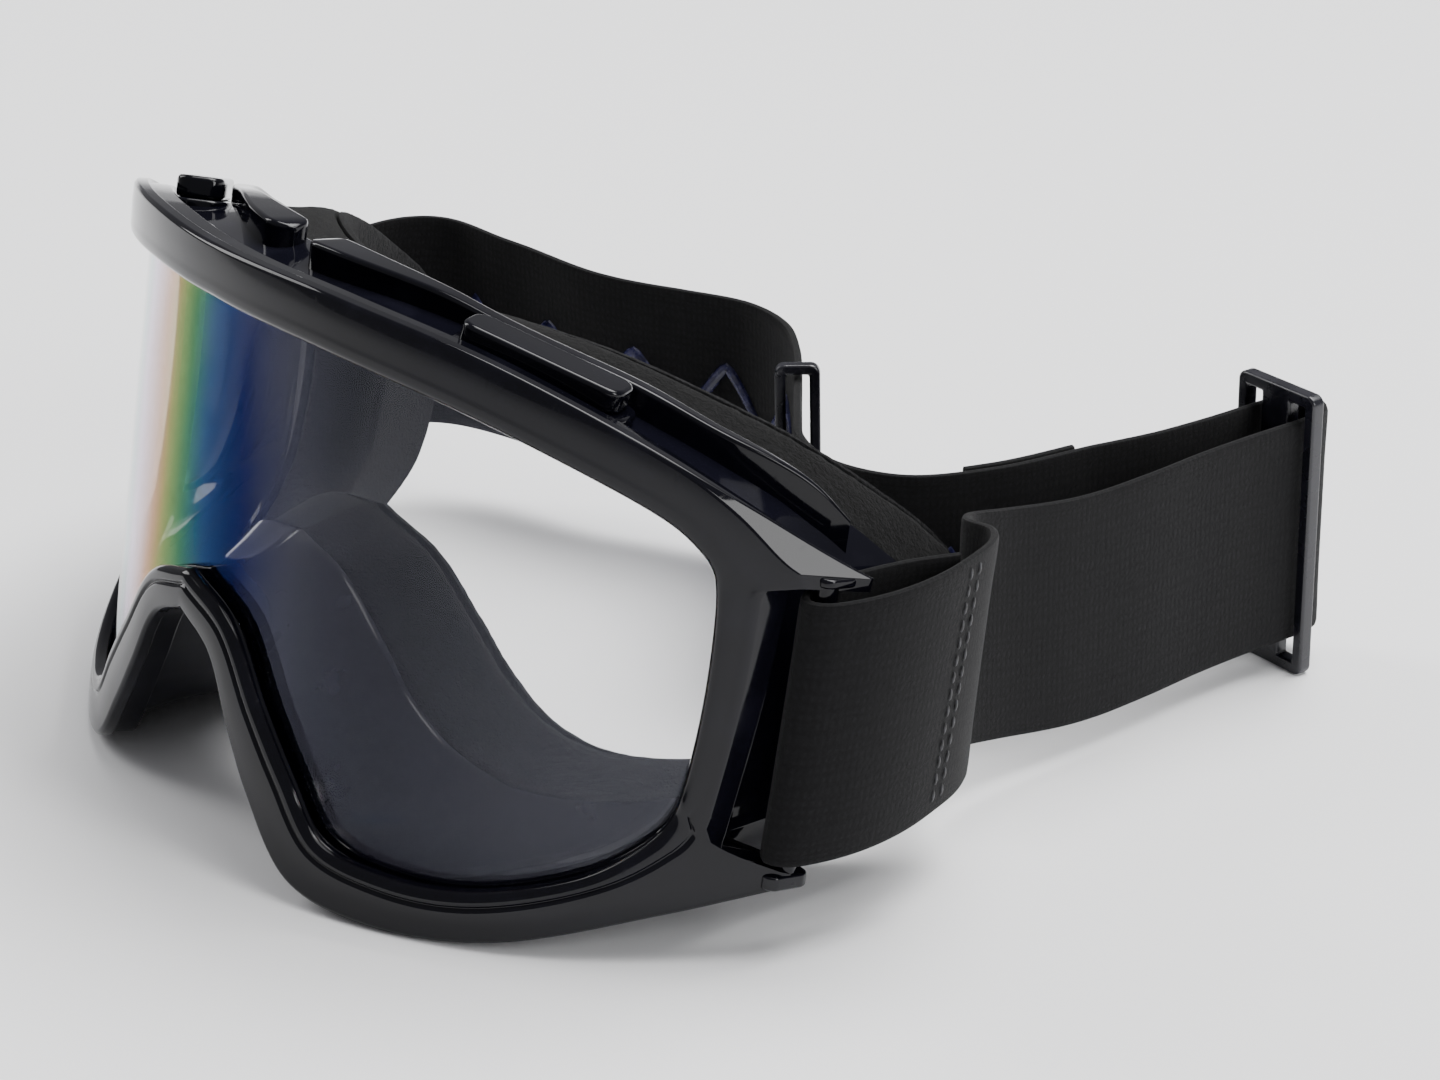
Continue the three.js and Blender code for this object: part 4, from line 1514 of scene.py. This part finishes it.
@dataclass
class Studio:
    """A pale sweep, soft light and the camera."""

    eye: tuple[float, float, float] = (0.45, -0.3096, 0.26892)
    target: tuple[float, float, float] = (0.15079, -0.09586, 0.10347)
    roll: float = -1.13
    lens: float = 89.87

    def camera(self) -> None:
        """Sets the camera at the viewing angle."""
        eye, target = Vector(self.eye), Vector(self.target)
        ahead = (target - eye).normalized()
        right = ahead.cross(Vector((0, 0, 1))).normalized()
        up = right.cross(ahead)
        turn = math.radians(self.roll)
        across = right * math.cos(turn) + up * math.sin(turn)
        upright = up * math.cos(turn) - right * math.sin(turn)
        data = bpy.data.cameras.new("camera")
        data.lens, data.sensor_width = self.lens, 36.0
        data.clip_start = 0.01
        obj = bpy.data.objects.new("camera", data)
        matrix = Matrix((across, upright, -ahead)).transposed().to_4x4()
        matrix.translation = eye
        obj.matrix_world = matrix
        bpy.context.collection.objects.link(obj)
        bpy.context.scene.camera = obj

    def sweep(self) -> None:
        """The pale floor."""
        bm = bmesh.new()
        bmesh.ops.create_grid(bm, x_segments=8, y_segments=8, size=6.0)
        mesh = bpy.data.meshes.new("studio_floor")
        bm.to_mesh(mesh)
        bm.free()
        floor = bpy.data.objects.new("studio_floor", mesh)
        material = bpy.data.materials.new("painted_floor_matte")
        material.use_nodes = True
        shader = material.node_tree.nodes["Principled BSDF"]
        shader.inputs["Base Color"].default_value = hex_colour("#f4f4f5")
        shader.inputs["Roughness"].default_value = 0.9
        mesh.materials.append(material)
        bpy.context.collection.objects.link(floor)

    def build(self) -> None:
        """Sets up the floor, the world, the lights and the camera."""
        self.camera()
        self.sweep()
        world = bpy.data.worlds.new("studio")
        world.use_nodes = True
        background = world.node_tree.nodes["Background"]
        background.inputs["Color"].default_value = hex_colour("#eeeef2")
        background.inputs["Strength"].default_value = 0.35
        bpy.context.scene.world = world
        for box in (
            Softbox("overhead", (0.05, 0.5, 1.2), (1.1, 0.6), 22.0),
            Softbox("front_left", (-1.0, -0.5, 0.8), (0.4, 0.9), 8.0),
            Softbox("right_side", (1.3, 0.3, 0.6), (0.4, 0.7), 9.0),
        ):
            box.hang()
        self.skylight()

    @staticmethod
    def skylight() -> None:
        """A broad even light from above that keeps the floor pale right across."""
        light = bpy.data.lights.new("skylight", "SUN")
        light.energy = 2.0
        light.angle = math.radians(50)
        obj = bpy.data.objects.new("skylight", light)
        obj.rotation_euler = (math.radians(-22), math.radians(8), 0)
        bpy.context.collection.objects.link(obj)


def main() -> None:
    """Builds the studio and the goggles, piece by piece."""
    logging.basicConfig(level=logging.INFO, format="%(message)s")
    Studio().build()
    finishes = Finishes()
    FrontFrame(finishes).build()
    Lens(finishes).build()
    FaceShell(finishes).build()
    FaceSeal(finishes).build()
    Strap(finishes).build()
    build_sliders(finishes)


if __name__ == "__main__":
    main()
